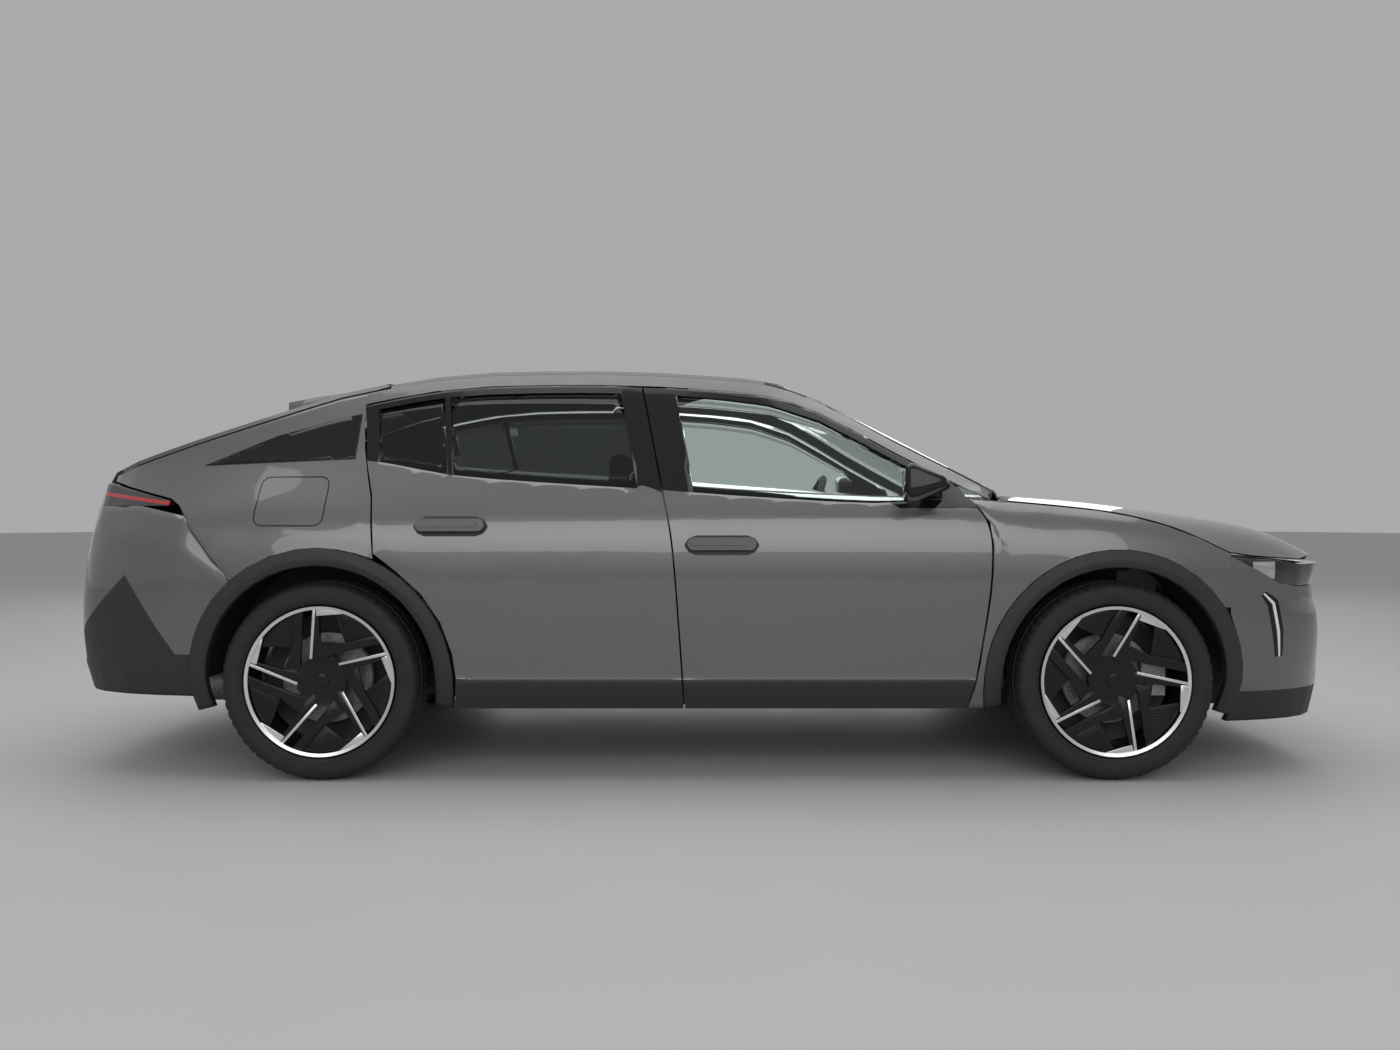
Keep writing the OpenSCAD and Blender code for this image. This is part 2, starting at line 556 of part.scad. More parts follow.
slat_h = 16;
module grille() {
    function slat_point(f, z, depth) =
        let (y = f * flank_y(nose_corner, z)) wrap(end_x(y, z, front_reach(z)), y, z, depth);
    reach = 0.579;
    low = nose_row(0.38, lamp_low);
    high = nose_row(0.92, lamp_low);
    color(dark) for (k = [1 : slats]) {
        z = lerp(low, high, k / (slats + 1));
        shell([for (e = [-0.5, 0.5]) [for (f = steps(10)) slat_point(lerp(-reach, reach, f), z + e * slat_h, 8)]],
              [for (e = [-0.5, 0.5]) [for (f = steps(10)) slat_point(lerp(-reach, reach, f), z + e * slat_h, 30)]]);
    }
}
module headlamps() {
    shares = [0.735, 0.84, 0.93, 1];
    function lamp_point(k, v, depth) =
        let (front = k < 4, x0 = front ? 0 : lerp(place(fender_cut) + 6, nose_corner, [0.7, 0.35, 0][k - 4]),
             top = bonnet_edge(front ? place(1.9) : x0) - 1.5 * shut_gap,
             low = (front ? lamp_low : nose_top(x0)) + 1,
             z = lerp(low, max(top, low + 4), v),
             y = front ? shares[k] * flank_y(nose_corner, z) : flank_y(x0, z))
        inward([front ? end_x(y, z, front_reach(z)) : x0, y, z], depth, k < 2 ? 0 : front ? 1 : 2);
    color("white") for (s = [0, 1]) mirror([0, s, 0])
        shell([for (v = [0, 0.5, 1]) [for (k = [0 : 6]) lamp_point(k, v, 2)]],
              [for (v = [0, 0.5, 1]) [for (k = [0 : 6]) lamp_point(k, v, 50)]]);
}

// Rear bumper, tail lamps and tailgate
function tail_row(r, top) = lerp(tail_low, top, r);
function tail_point(c, r, depth) =
    let (i = abs(c), n = len(end_shares), back = i < n,
         guess = back ? tail_corner : lerp(place(cut_station), tail_corner, side_shares[i - n]),
         top = back ? tail_top : min(tail_top, quarter_low(guess) - 2),
         z = tail_row(r, top),
         start = min(place(cut_station), rear_axle_x - sqrt(max(0, quarter_arch_r^2 - (z - axle_z)^2))),
         x = back ? 0 : lerp(start, tail_corner, side_shares[i - n]),
         y = sign(c) * (back ? end_shares[i] * flank_y(tail_corner, z) : flank_y(x, z)))
    inward([back ? -end_x(y, z, rear_reach(z)) : x, y, z], depth, !back ? 2 : i <= 5 ? 0 : 1);
tail_rows = [0, 0.14, 0.28, 0.42, 0.56, 0.69, 0.84, 1];
module rear_bumper() {
    cols = [for (c = [-end_last : end_last]) -c];
    color(paint) shell([for (r = tail_rows) [for (c = cols) tail_point(c, r, 0)]],
                       [for (r = tail_rows) [for (c = cols) tail_point(c, r, bumper_t)]],
                       [for (i = [0 : len(tail_rows) - 2]) [for (c = [-end_last : end_last - 1])
                           i < 5 || max(abs(c), abs(c + 1)) > 5]]);
}
module tail_lamps() {
    tips = [0.72, 0.4, 0.06];
    function lamp_point(k, v, depth) =
        let (back = k < 3, x0 = back ? 0 : lerp(place(-1.545), tail_corner, tips[k - 3]),
             top = quarter_low(back ? place(-1.86) : x0) - 8,
             z = lerp(tail_top + 1, top, v),
             y = back ? [0.84, 0.93, 1][k] * flank_y(tail_corner, z) : flank_y(x0, z))
        inward([back ? -end_x(y, z, rear_reach(z)) : x0, y, z], depth, k < 2 ? 0 : back ? 1 : 2);
    color("darkred") for (s = [0, 1]) mirror([0, s, 0])
        shell([for (v = [0, 0.5, 1]) [for (k = [5 : -1 : 0]) lamp_point(k, v, 2)]],
              [for (v = [0, 0.5, 1]) [for (k = [5 : -1 : 0]) lamp_point(k, v, 50)]]);
}
gate_t = 28;
gate_edge_t = 14;
gate_side = 0.82;
gate_us = [0.878, 0.93, 1, 1.075, 1.163, 1.243, 1.305, 1.381, 1.45, 1.519, 1.56, 1.66, 1.757, 1.88];
gate_center_us = [0.878, 0.93, 1, 1.075, 1.163, 1.243, 1.31, 1.39, 1.46, 1.53, 1.6, 1.7, 1.8, 1.912];
gate_zs = [1050, 1000, 950, 890, 830, 768];
gate_pin_r = 3;
gate_hinge_x = place(-0.87) - gate_pin_r - seat_gap;
gate_hinge_z = roof_line(place(-0.878)) - gate_pin_r;
gate_rows = len(gate_us) + len(gate_zs);
function gate_point(i, t, depth) =
    let (n = len(gate_us)) i < n
    ? let (xe = i == 0 ? gate_hinge_x - gate_pin_r - seat_gap : place(-gate_us[i]),
           xc = i == 0 ? xe : place(-gate_center_us[i]),
           w = 1 - pow(abs(t), 2.6), low = edge_line(xe) + shut_gap + gate_edge_t,
           drop = depth * lerp(gate_edge_t / gate_t, 1, 1 - t^4))
      [lerp(xe, xc, w) + (i == n - 1 ? drop : 0), t * (flank_y(xe, edge_line(xe)) - 6),
       lerp(low, roof_line(xc), w) - drop]
    : let (z = gate_zs[i - n], y = t * gate_side * flank_y(tail_corner, z))
      [-end_x(y, z, rear_reach(z)) + depth, y, z];
gate_window = [2, 10];
gate_cols = [3, 13];
module tailgate() {
    color(paint) shell([for (i = [gate_rows - 1 : -1 : 0]) [for (t = across) gate_point(i, t, 0)]],
                       [for (i = [gate_rows - 1 : -1 : 0]) [for (t = across) gate_point(i, t, gate_t)]],
                       [for (i = [gate_rows - 2 : -1 : 0]) [for (j = [0 : len(across) - 2])
                           !(in_cols(i, gate_window) && in_cols(j, gate_cols))]]);
    color(metal) for (y = [-300, 240]) translate([gate_hinge_x, y + 60, gate_hinge_z]) rotate([90, 0, 0])
        cylinder(r = gate_pin_r, h = 60);
}
module rear_window() {
    rows = [gate_window[1] : -1 : gate_window[0]];
    cols = [gate_cols[0] : gate_cols[1]];
    function point(i, j, depth) =
        let (p = gate_point(i, across[j], depth),
             dx = i == gate_window[0] ? -seat_gap * 1.5 : i == gate_window[1] ? seat_gap * 1.5 : 0,
             dy = j == gate_cols[0] ? -seat_gap : j == gate_cols[1] ? seat_gap : 0)
        [p[0] + dx, p[1] + dy, p[2]];
    color(tint) shell([for (i = rows) [for (j = cols) point(i, j, 4)]],
                      [for (i = rows) [for (j = cols) point(i, j, 4 + glass_t)]]);
}

// Arch cladding and wheel liners
arch_clear = 1.8;
clad_depth = 28;
module arch_ring(axle_x, opening, from, to) {
    function ring_point(a, r, depth) =
        let (x = axle_x + r * cos(a), z = axle_z + r * sin(a)) skin(x, z, depth);
    radii = [opening, opening + arch_band / 3, opening + arch_band - arch_clear];
    proud = [-2, -10, -6];
    angles = [for (t = steps(26)) lerp(from, to, t)];
    shell([for (k = [0 : 2]) [for (a = angles) ring_point(a, radii[k], proud[k])]],
          [for (k = [0 : 2]) [for (a = angles) ring_point(a, radii[k], clad_depth)]]);
}
module arch_cladding() {
    color(dark) for (s = [0, 1]) mirror([0, s, 0]) {
        arch_ring(front_axle_x, front_opening_r, low_angle, -17);
        arch_ring(rear_axle_x, rear_opening_r, 194, -12);
    }
}
liner_r = 430;
liner_t = 6;
liner_in = 560;
liner_out = 805;
module liner(axle_x, from, to) {
    translate([axle_x, -liner_in, axle_z]) rotate([90, 0, 0]) rotate([0, 0, from])
        rotate_extrude(angle = to - from, $fn = 72) translate([liner_r, 0]) square([liner_t, liner_out - liner_in]);
}
module wheel_liners() {
    color(dark) for (s = [0, 1]) mirror([0, s, 0]) {
        liner(front_axle_x, 18, 140);
        liner(rear_axle_x, 0, 180);
    }
}

// Floor pan with sills, bulkhead, tunnel, boot floor and bumper beams
floor_z = 255;
floor_t = 20;
floor_front = place(0.702);
step_x = place(-0.76);
boot_z = 430;
boot_end = place(-1.78);
sill_in = 700;
jack_z = 238;
jack_xs = [place(-0.56), place(0.62)];
cowl_half = 740;
cowl_low = 935;
cowl_t = 6;
function cowl_point(k, t, under) =
    let (foot = screen_point(len(rail_stations) - 1, t, true), x = max(foot[0] + 6, floor_front + 20),
         at = [[floor_front + seat_gap, cowl_low + 10], [x, foot[2] - 10], [x + 50, cowl_low]][k])
    [at[0], t * cowl_half, at[1] - (under ? cowl_t : 0)];
module cowl() {
    shell([for (k = [0 : 2]) [for (t = across) cowl_point(k, t, false)]],
          [for (k = [0 : 2]) [for (t = across) cowl_point(k, t, true)]]);
}
module block(x0, x1, y0, y1, z0, z1) { translate([x0, y0, z0]) cube([x1 - x0, y1 - y0, z1 - z0]); }
module both() { for (s = [0, 1]) mirror([0, s, 0]) children(); }
module floor_pan() {
    beam_tail = tail_point(2, 0.28, bumper_t);
    color(dark) cowl();
    color(trim) {
        block(rear_axle_x + liner_r + 15, floor_front, -sill_in - 1, sill_in + 1, floor_z, floor_z + floor_t);
        block(step_x, rear_axle_x + liner_r + 16, -liner_in, liner_in, floor_z, floor_z + floor_t);
        both() block(rear_axle_x + 475, place(0.707), sill_in, sill_out, sill_h + 2, sill_top);
        both() for (x = jack_xs) block(x - 40, x + 40, sill_in + 8, sill_in + 68, jack_z, sill_h + 3);
        block(step_x - 20, place(0.66), -130, 130, floor_z, 380);
        block(floor_front - 20, floor_front, -cowl_half, cowl_half, floor_z, 955);
        block(step_x - 20, step_x, -liner_in, liner_in, floor_z, boot_z + floor_t);
        block(boot_end, step_x, -liner_in, liner_in, boot_z, boot_z + floor_t);
        both() block(rear_axle_x - 440, step_x, liner_in - 20, liner_in - seat_gap, boot_z, 860);
        block(boot_end - 60, boot_end, -560, 560, boot_z - 40, 700);
        both() block(beam_tail[0] + 2.1, boot_end, beam_tail[1] - 12, beam_tail[1] + 12, 465, 493);
    }
}

// Seats, dashboard and steering wheel
seat_y = 370;
module slab(profile, width, y = 0) {
    translate([0, y + width / 2, 0]) rotate([90, 0, 0]) linear_extrude(width) polygon(profile);
}
floor_top = floor_z + floor_t + seat_gap;
module front_seats() {
    base = place(-0.02);
    color(trim) for (y = [-seat_y, seat_y]) translate([base, 0, 0]) {
        slab([[-30, 400], [490, 440], [500, 500], [440, 530], [0, 490]], 500, y);
        slab([[110, 500.3], [1, 490.4], [-60, 500], [-370, 1000], [-340, 1020], [-260, 1010]], 480, y);
        slab([[-265, 1010.9], [-340, 1020.3], [-385, 1030], [-395, 1150], [-360, 1175], [-290, 1160]], 250, y);
        slab([[20, floor_top], [440, floor_top], [430, 435.1], [40, 405.1]], 380, y);
    }
}
module rear_seat() {
    base = place(-0.72);
    color(trim) translate([base, 0, 0]) {
        slab([[50, 390], [500, 420], [510, 490], [450, 520], [50, 470]], 1270);
        for (y = [-385, 385]) slab([[60, floor_top], [480, floor_top], [470, 417.7], [60, 390.3]], 470, y);
        slab([[110, 477.8], [50, 470.3], [-40, 480], [-230, 960], [-200, 985], [-110, 970]], 1040);
    }
}
wheel_tilt = 24;
wheel_center = [place(0.31), seat_y, 930];
module along_column(d = 0) {
    translate(wheel_center) rotate([0, 90 + wheel_tilt, 0]) translate([0, 0, d]) children();
}
module dashboard() {
    color(trim) {
        slab([[0, 700], [0, 955], [-120, 975], [-290, 900], [-300, 800], [-180, 700]]
             + [for (i = [0 : 5]) [floor_front - 20 - seat_gap, 0]], 1380);
        along_column(60) cylinder(r = 34, h = 250);
        along_column(22) cylinder(r = 14, h = 60);
    }
}
module steering_wheel() {
    color(dark) along_column() {
        rotate_extrude($fn = 64) translate([172, 0]) circle(15, $fn = 24);
        difference() {
            translate([0, 0, 6]) cylinder(r = 62, h = 22);
            translate([0, 0, 20]) cylinder(r = 14 + pin_gap, h = 20);
        }
        for (a = [0, 120, 240]) rotate([0, 0, a + 90]) translate([40, -18, 6]) cube([126, 36, 10]);
    }
}

// Running gear
module engine_block() {
    color(metal) block(place(0.79), place(1.37), -400, 400, floor_z + seat_gap, 830);
}
steer_y = 700;
ball_low = 165;
ball_high = 535;
ball_r = 10;
rail_in = 330;
rail_out = 400;
module front_subframe() {
    x = front_axle_x;
    nose_pad = nose_point(2, 0.52, bumper_t);
    color(metal) {
        both() {
            block(place(0.6), place(1.66), rail_in, rail_out, 190, floor_z - seat_gap);
            block(x - 55, x + 165, 405, 430, 200, 880);
            block(x - 55, x + 165, rail_in, 431, 200, 230);
            block(x - 55, x + 165, 405, liner_in - seat_gap, 720, 880);
            block(place(1.6), place(1.66), rail_in, rail_out, 190, 480);
            block(place(1.66) - 1, nose_pad[0] - 0.8, nose_pad[1] - 12, nose_pad[1] + 12, 430, 456);
            translate([x, 0, ball_low - 25]) linear_extrude(24.5)
                polygon([[-22, steer_y + 18], [22, steer_y + 18], [80, 380], [-80, 380]]);
            block(x - 80, x + 80, 360, 382, ball_low - 25, 201);
            translate([x, 0, ball_high + 0.5]) linear_extrude(20)
                polygon([[-18, steer_y + 16], [18, steer_y + 16], [50, 429], [-50, 429]]);
            translate([x, steer_y, ball_low - 1]) cylinder(r = ball_r, h = 28);
            translate([x, steer_y, ball_high - 27]) cylinder(r = ball_r, h = 28);
            translate([x, 520, ball_low - 1]) cylinder(r = 34, h = 560);
        }
        block(place(1.6), place(1.66), -rail_out, rail_out, 400, 480);
        block(x - 200, x + 200, -rail_out, rail_out, 190, 229);
    }
}
disc_r = 160;
stub_r = 22;
module knuckle() {
    x = front_axle_x;
    color(metal) difference() {
        union() {
            block(x - 24, x + 24, -steer_y - 22, -steer_y + 20, ball_low, ball_high);
            translate([x, -steer_y, axle_z]) rotate([90, 0, 0]) cylinder(r = stub_r - pin_gap, h = half_track - steer_y + 30);
            translate([x, -steer_y, axle_z]) rotate([90, 0, 0]) cylinder(r = 60, h = 30);
            block(x + 20, x + 120, -steer_y - 22, -steer_y + 6, axle_z - 40, axle_z + 40);
            block(x + 112, x + 196, -half_track - 40, -steer_y + 6, axle_z - 58, axle_z + 58);
        }
        for (z = [ball_low, ball_high]) translate([x, -steer_y, z]) cylinder(r = ball_r + pin_gap, h = 60, center = true);
        block(x + 60, x + disc_r + 8, -half_track - 16, -half_track + 28, axle_z - 100, axle_z + 100);
    }
}
module rear_axle() {
    x = rear_axle_x;
    color(metal) {
        translate([x + 185, 560, 330]) rotate([90, 0, 0]) cylinder(r = 42, h = 1120);
        both() {
            block(x - 50, step_x - 20 - seat_gap, 500, 556, 300, 380);
            translate([x, 500, axle_z]) rotate([-90, 0, 0]) cylinder(r = 46, h = 230);
            translate([x, 500, axle_z]) rotate([-90, 0, 0]) cylinder(r = stub_r - pin_gap, h = half_track - 470);
            translate([x - 20, 460, 370]) cylinder(r = 48, h = boot_z - 370 - seat_gap);
            block(x - 70, x + 20, 400, 520, 320, 375);
        }
    }
}
pipe_r = 27;
module exhaust() {
    z = floor_z - pipe_r - seat_gap;
    color(metal) {
        translate([place(-1.32), -235, z]) rotate([0, 90, 0]) cylinder(r = pipe_r, h = place(0.55) - place(-1.32));
        translate([place(-1.62), -235, z + 40]) rotate([0, 90, 0]) cylinder(r = 90, h = 320);
        translate([place(-1.32) - 10, -235, z]) rotate([0, 90, 0]) cylinder(r = pipe_r + 4, h = 60);
    }
}

// Wheels, made with the axis along z and the outer face up
face_z = 62;
face_t = 26;
spokes = 5;
module rim() {
    barrel = tyre_w / 2 - 8;
    color(metal) difference() {
        union() {
            rotate_extrude($fn = 96) translate([rim_r - 12, -barrel]) square([12 - seat_gap, 2 * barrel]);
            translate([0, 0, face_z]) cylinder(r = rim_r - 4, h = face_t, $fn = 96);
            translate([0, 0, -14]) cylinder(r = 72, h = face_z + 20);
            translate([0, 0, -14]) cylinder(r = disc_r, h = 22, $fn = 72);
        }
        translate([0, 0, -40]) cylinder(r = stub_r, h = 90);
        for (k = [0 : spokes - 1]) rotate([0, 0, k * 360 / spokes]) translate([0, 0, face_z - 1])
            linear_extrude(face_t + 2) {
                polygon([[92, 30], [100, 6], [226, 6], [238, 52], [210, 66]]);
                polygon([[110, -28], [220, -66], [234, -24], [118, -12]]);
            }
    }
}
module tyre() {
    w = tyre_w / 2;
    bead = w - 16;
    color(dark) rotate_extrude($fn = 96)
        polygon([[rim_r, -bead], [rim_r + 22, -w], [tyre_r - 34, -w], [tyre_r, -w + 34], [tyre_r, w - 34],
                 [tyre_r - 34, w], [rim_r + 22, w], [rim_r, bead]]);
}
module wheel_at(axle_x) { translate([axle_x, -half_track, axle_z]) rotate([90, 0, 0]) children(); }

// Door mirror: housing on a foot at the window's front corner
module mirror_housing() {
    x = place(0.5);
    foot = max([for (e = [25, 95]) flank_y(x + e, 990)]) - 0.5;
    color(dark) {
        hull() {
            for (d = [[-30, 925, 1000, 28], [-38, 1010, 1020, 26], [-38, 1005, 1085, 26], [-30, 925, 1075, 30],
                      [80, 950, 1040, 22], [60, 1000, 1050, 20]])
                translate([x + d[0], -d[1], d[2]]) sphere(d[3], $fn = 16);
        }
        hull() {
            translate([x + 60, -foot - 1, 1003]) cube([70, 2, 26], center = true);
            translate([x + 30, -920, 1010]) cube([40, 4, 20], center = true);
        }
    }
}

floor_pan();
other_side() side_frame();  // side_frame_left
side_frame();  // side_frame_right
other_side() quarter();  // quarter_left
quarter();  // quarter_right
roof_panel();
other_side() fender();  // fender_left
fender();  // fender_right
front_bumper();
grille();
rear_bumper();
arch_cladding();
wheel_liners();
windscreen();
headlamps();
tail_lamps();
dashboard();
front_seats();
rear_seat();
engine_block();
front_subframe();
rear_axle();
exhaust();
bonnet();
tailgate();
rear_window();
other_side() front_door();  // door_front_left
front_door();  // door_front_right
other_side() rear_door();  // door_rear_left
rear_door();  // door_rear_right
other_side() front_glass();  // glass_front_left
front_glass();  // glass_front_right
other_side() rear_glass();  // glass_rear_left
rear_glass();  // glass_rear_right
other_side() mirror_housing();  // mirror_left
mirror_housing();  // mirror_right
other_side() knuckle();  // knuckle_left
knuckle();  // knuckle_right
other_side() wheel_at(front_axle_x) rim();  // rim_front_left
wheel_at(front_axle_x) rim();  // rim_front_right
other_side() wheel_at(rear_axle_x) rim();  // rim_rear_left
wheel_at(rear_axle_x) rim();  // rim_rear_right
other_side() wheel_at(front_axle_x) tyre();  // tyre_front_left
wheel_at(front_axle_x) tyre();  // tyre_front_right
other_side() wheel_at(rear_axle_x) tyre();  // tyre_rear_left
wheel_at(rear_axle_x) tyre();  // tyre_rear_right
steering_wheel();
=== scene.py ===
import json
import math
import bpy
from mathutils import Matrix, Vector


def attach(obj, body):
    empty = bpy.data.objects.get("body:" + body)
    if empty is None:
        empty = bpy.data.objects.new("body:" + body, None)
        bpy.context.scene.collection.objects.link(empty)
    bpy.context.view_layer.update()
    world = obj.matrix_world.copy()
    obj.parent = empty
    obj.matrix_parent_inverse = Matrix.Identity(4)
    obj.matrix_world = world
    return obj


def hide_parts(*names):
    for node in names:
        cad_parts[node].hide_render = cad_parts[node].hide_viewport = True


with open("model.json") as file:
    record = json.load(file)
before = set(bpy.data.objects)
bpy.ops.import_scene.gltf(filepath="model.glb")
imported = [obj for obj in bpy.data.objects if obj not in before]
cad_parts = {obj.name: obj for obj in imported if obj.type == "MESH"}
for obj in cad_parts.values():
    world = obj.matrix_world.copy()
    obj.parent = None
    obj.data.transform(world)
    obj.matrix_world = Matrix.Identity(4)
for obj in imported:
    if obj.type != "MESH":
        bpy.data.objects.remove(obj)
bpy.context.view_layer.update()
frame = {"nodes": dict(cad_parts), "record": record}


# Painted body panels: pressed sheet steel with a metallic warm-grey base coat under clear lacquer.
# Each panel is the CAD shell with its flat cells drawn smooth and its real edges kept.
# The roof is lined with a pale headliner, the bonnet with felt and the tailgate with moulded plastic.
NOISE_DETAIL = 3.0
RAMP_SPAN = (0.35, 0.65)
WELD = 0.00002
QUAD_ANGLES = (50, 100)
CREASE_ANGLE = 38
SHADE_ANGLE = 40
SMOOTH_LEVELS = 2


def shader_input(finish, name):
    return finish.node_tree.nodes["Principled BSDF"].inputs[name]


def new_finish(name, colour, roughness, metallic=0.0):
    finish = bpy.data.materials.new(name)
    finish.use_nodes = True
    shader_input(finish, "Base Color").default_value = (*colour, 1)
    shader_input(finish, "Roughness").default_value = roughness
    shader_input(finish, "Metallic").default_value = metallic
    return finish


def noise_in(finish, scale):
    nodes, links = finish.node_tree.nodes, finish.node_tree.links
    where = nodes.new("ShaderNodeTexCoord")
    noise = nodes.new("ShaderNodeTexNoise")
    noise.inputs["Scale"].default_value = scale
    noise.inputs["Detail"].default_value = NOISE_DETAIL
    links.new(where.outputs["Object"], noise.inputs["Vector"])
    return noise.outputs["Fac"]


def add_grain(finish, scale, depth, strength):
    nodes, links = finish.node_tree.nodes, finish.node_tree.links
    bump = nodes.new("ShaderNodeBump")
    bump.inputs["Strength"].default_value = strength
    bump.inputs["Distance"].default_value = depth
    links.new(noise_in(finish, scale), bump.inputs["Height"])
    links.new(bump.outputs["Normal"], shader_input(finish, "Normal"))
    return bump


def vary_colour(finish, dark, light, scale):
    nodes, links = finish.node_tree.nodes, finish.node_tree.links
    ramp = nodes.new("ShaderNodeValToRGB")
    for element, position, colour in zip(ramp.color_ramp.elements, RAMP_SPAN, (dark, light)):
        element.position = position
        element.color = (*colour, 1)
    links.new(noise_in(finish, scale), ramp.inputs["Fac"])
    links.new(ramp.outputs["Color"], shader_input(finish, "Base Color"))


def vary_roughness(finish, low, high, scale):
    nodes, links = finish.node_tree.nodes, finish.node_tree.links
    spread = nodes.new("ShaderNodeMapRange")
    spread.inputs["To Min"].default_value = low
    spread.inputs["To Max"].default_value = high
    links.new(noise_in(finish, scale), spread.inputs["Value"])
    links.new(spread.outputs["Result"], shader_input(finish, "Roughness"))


def select_only(piece):
    bpy.ops.object.select_all(action="DESELECT")
    piece.select_set(True)
    bpy.context.view_layer.objects.active = piece


def enter_edit():
    bpy.ops.object.mode_set(mode="EDIT")
    bpy.ops.mesh.select_all(action="SELECT")


def leave_edit():
    bpy.ops.object.mode_set(mode="OBJECT")


def shape_by(piece, kind, **settings):
    step = piece.modifiers.new(kind.lower(), kind)
    for setting, value in settings.items():
        setattr(step, setting, value)
    bpy.ops.object.modifier_apply(modifier=step.name)


def shade_below(degrees):
    bpy.ops.object.shade_smooth_by_angle(angle=math.radians(degrees))


def duplicate(source, name):
    piece = source.copy()
    piece.data = source.data.copy()
    piece.name = name
    bpy.context.collection.objects.link(piece)
    return piece


def copy_of(node, name):
    piece = duplicate(frame["nodes"][node], name)
    piece.parent = None
    piece.matrix_world.identity()
    piece.data.materials.clear()
    select_only(piece)
    enter_edit()
    bpy.ops.mesh.remove_doubles(threshold=WELD)
    leave_edit()
    return piece


def draw_smooth(piece):
    select_only(piece)
    enter_edit()
    bpy.ops.mesh.tris_convert_to_quads(face_threshold=math.radians(QUAD_ANGLES[0]),
                                       shape_threshold=math.radians(QUAD_ANGLES[1]))
    bpy.ops.mesh.select_all(action="DESELECT")
    bpy.ops.mesh.edges_select_sharp(sharpness=math.radians(CREASE_ANGLE))
    bpy.ops.transform.edge_crease(value=1)
    leave_edit()
    shape_by(piece, "SUBSURF", levels=SMOOTH_LEVELS, render_levels=SMOOTH_LEVELS)
    shade_below(SHADE_ANGLE)


def body_of_node(node):
    bodies = frame["record"]["behaviour"]["bodies"]
    return next(body for body, nodes in bodies.items() if node in nodes)


def stands_for(piece, node):
    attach(piece, body_of_node(node))
    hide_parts(node)


paint = new_finish("metallic_paint", (0.15, 0.147, 0.143), 0.34, metallic=0.55)
vary_colour(paint, (0.132, 0.129, 0.125), (0.166, 0.163, 0.159), 900)
shader_input(paint, "Coat Weight").default_value = 1.0
shader_input(paint, "Coat Roughness").default_value = 0.03

headliner = new_finish("headliner", (0.3, 0.295, 0.285), 0.92)
add_grain(headliner, 900, 0.0008, 0.5)
liner_felt = new_finish("liner_felt", (0.012, 0.012, 0.013), 0.9)
add_grain(liner_felt, 900, 0.001, 0.7)
cabin_plastic = new_finish("soft_cabin_plastic", (0.03, 0.03, 0.033), 0.6)
add_grain(cabin_plastic, 1100, 0.0004, 0.5)

PANELS = ["roof_panel", "fender_left", "fender_right", "bonnet", "tailgate"]
LININGS = {"roof_panel": headliner, "bonnet": liner_felt, "tailgate": cabin_plastic}
INWARD = 0.35
for node in PANELS:
    panel = copy_of(node, node + "_skin")
    draw_smooth(panel)
    panel.data.materials.append(paint)
    if node in LININGS:
        panel.data.materials.append(LININGS[node])
        for face in panel.data.polygons:
            faces_cabin = node == "tailgate" and face.normal.x > INWARD
            face.material_index = 1 if faces_cabin or face.normal.z < -INWARD else 0
    stands_for(panel, node)


# Spoiler fins: two moulded ears, painted with the body, bonded on the tailgate's top corners.
# Each rises from the sheet to a blunt trailing edge that trips the air off the roof.
def mesh_piece(name, corners, faces):
    mesh = bpy.data.meshes.new(name)
    mesh.from_pydata(corners, [], faces)
    piece = bpy.data.objects.new(name, mesh)
    bpy.context.collection.objects.link(piece)
    select_only(piece)
    return piece


def turn_outward():
    enter_edit()
    bpy.ops.mesh.normals_make_consistent(inside=False)
    leave_edit()


FIN_SIDES = (0.615, 0.455)
FIN_ROWS = [(-1.31, 1.387, 1.397, 0.001), (-1.395, 1.364, 1.377, 0.013),
            (-1.45, 1.347, 1.361, 0.021), (-1.537, 1.319, 1.336, 0.031)]
FIN_SEAT = 0.004
FIN_ROUND = 0.004
FIN_EDGE_ANGLE = 40
for side, sign in (("left", 1), ("right", -1)):
    corners, faces = [], []
    for x, z_outer, z_inner, rise in FIN_ROWS:
        for z_shift in (rise, -FIN_SEAT):
            corners.append((x, sign * FIN_SIDES[0], z_outer + z_shift))
            corners.append((x, sign * FIN_SIDES[1], z_inner + z_shift))
    last_row = 4 * (len(FIN_ROWS) - 1)
    for a in range(0, last_row, 4):
        b = a + 4
        faces += [(a, a + 1, b + 1, b), (a + 2, b + 2, b + 3, a + 3),
                  (a, b, b + 2, a + 2), (a + 1, a + 3, b + 3, b + 1)]
    faces += [(0, 2, 3, 1), (last_row, last_row + 1, last_row + 3, last_row + 2)]
    fin = mesh_piece("spoiler_fin_" + side, corners, faces)
    turn_outward()
    shape_by(fin, "BEVEL", width=FIN_ROUND, segments=3, limit_method="ANGLE",
             angle_limit=math.radians(FIN_EDGE_ANGLE))
    shade_below(SHADE_ANGLE)
    fin.data.materials.append(paint)
    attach(fin, "tailgate")


# Doors: painted shells with grained plastic sill cladding clipped along the foot.
# Above the waist the window frames carry gloss black trim, and a plastic lining covers the inside.
cladding_plastic = new_finish("grained_plastic", (0.022, 0.022, 0.024), 0.55)
vary_roughness(cladding_plastic, 0.46, 0.64, 60)
add_grain(cladding_plastic, 1400, 0.0004, 0.5)
gloss_black = new_finish("gloss_black_trim", (0.008, 0.008, 0.009), 0.12)
vary_roughness(gloss_black, 0.07, 0.16, 35)
shader_input(gloss_black, "Specular IOR Level").default_value = 0.3
shader_input(gloss_black, "Coat Weight").default_value = 0.2

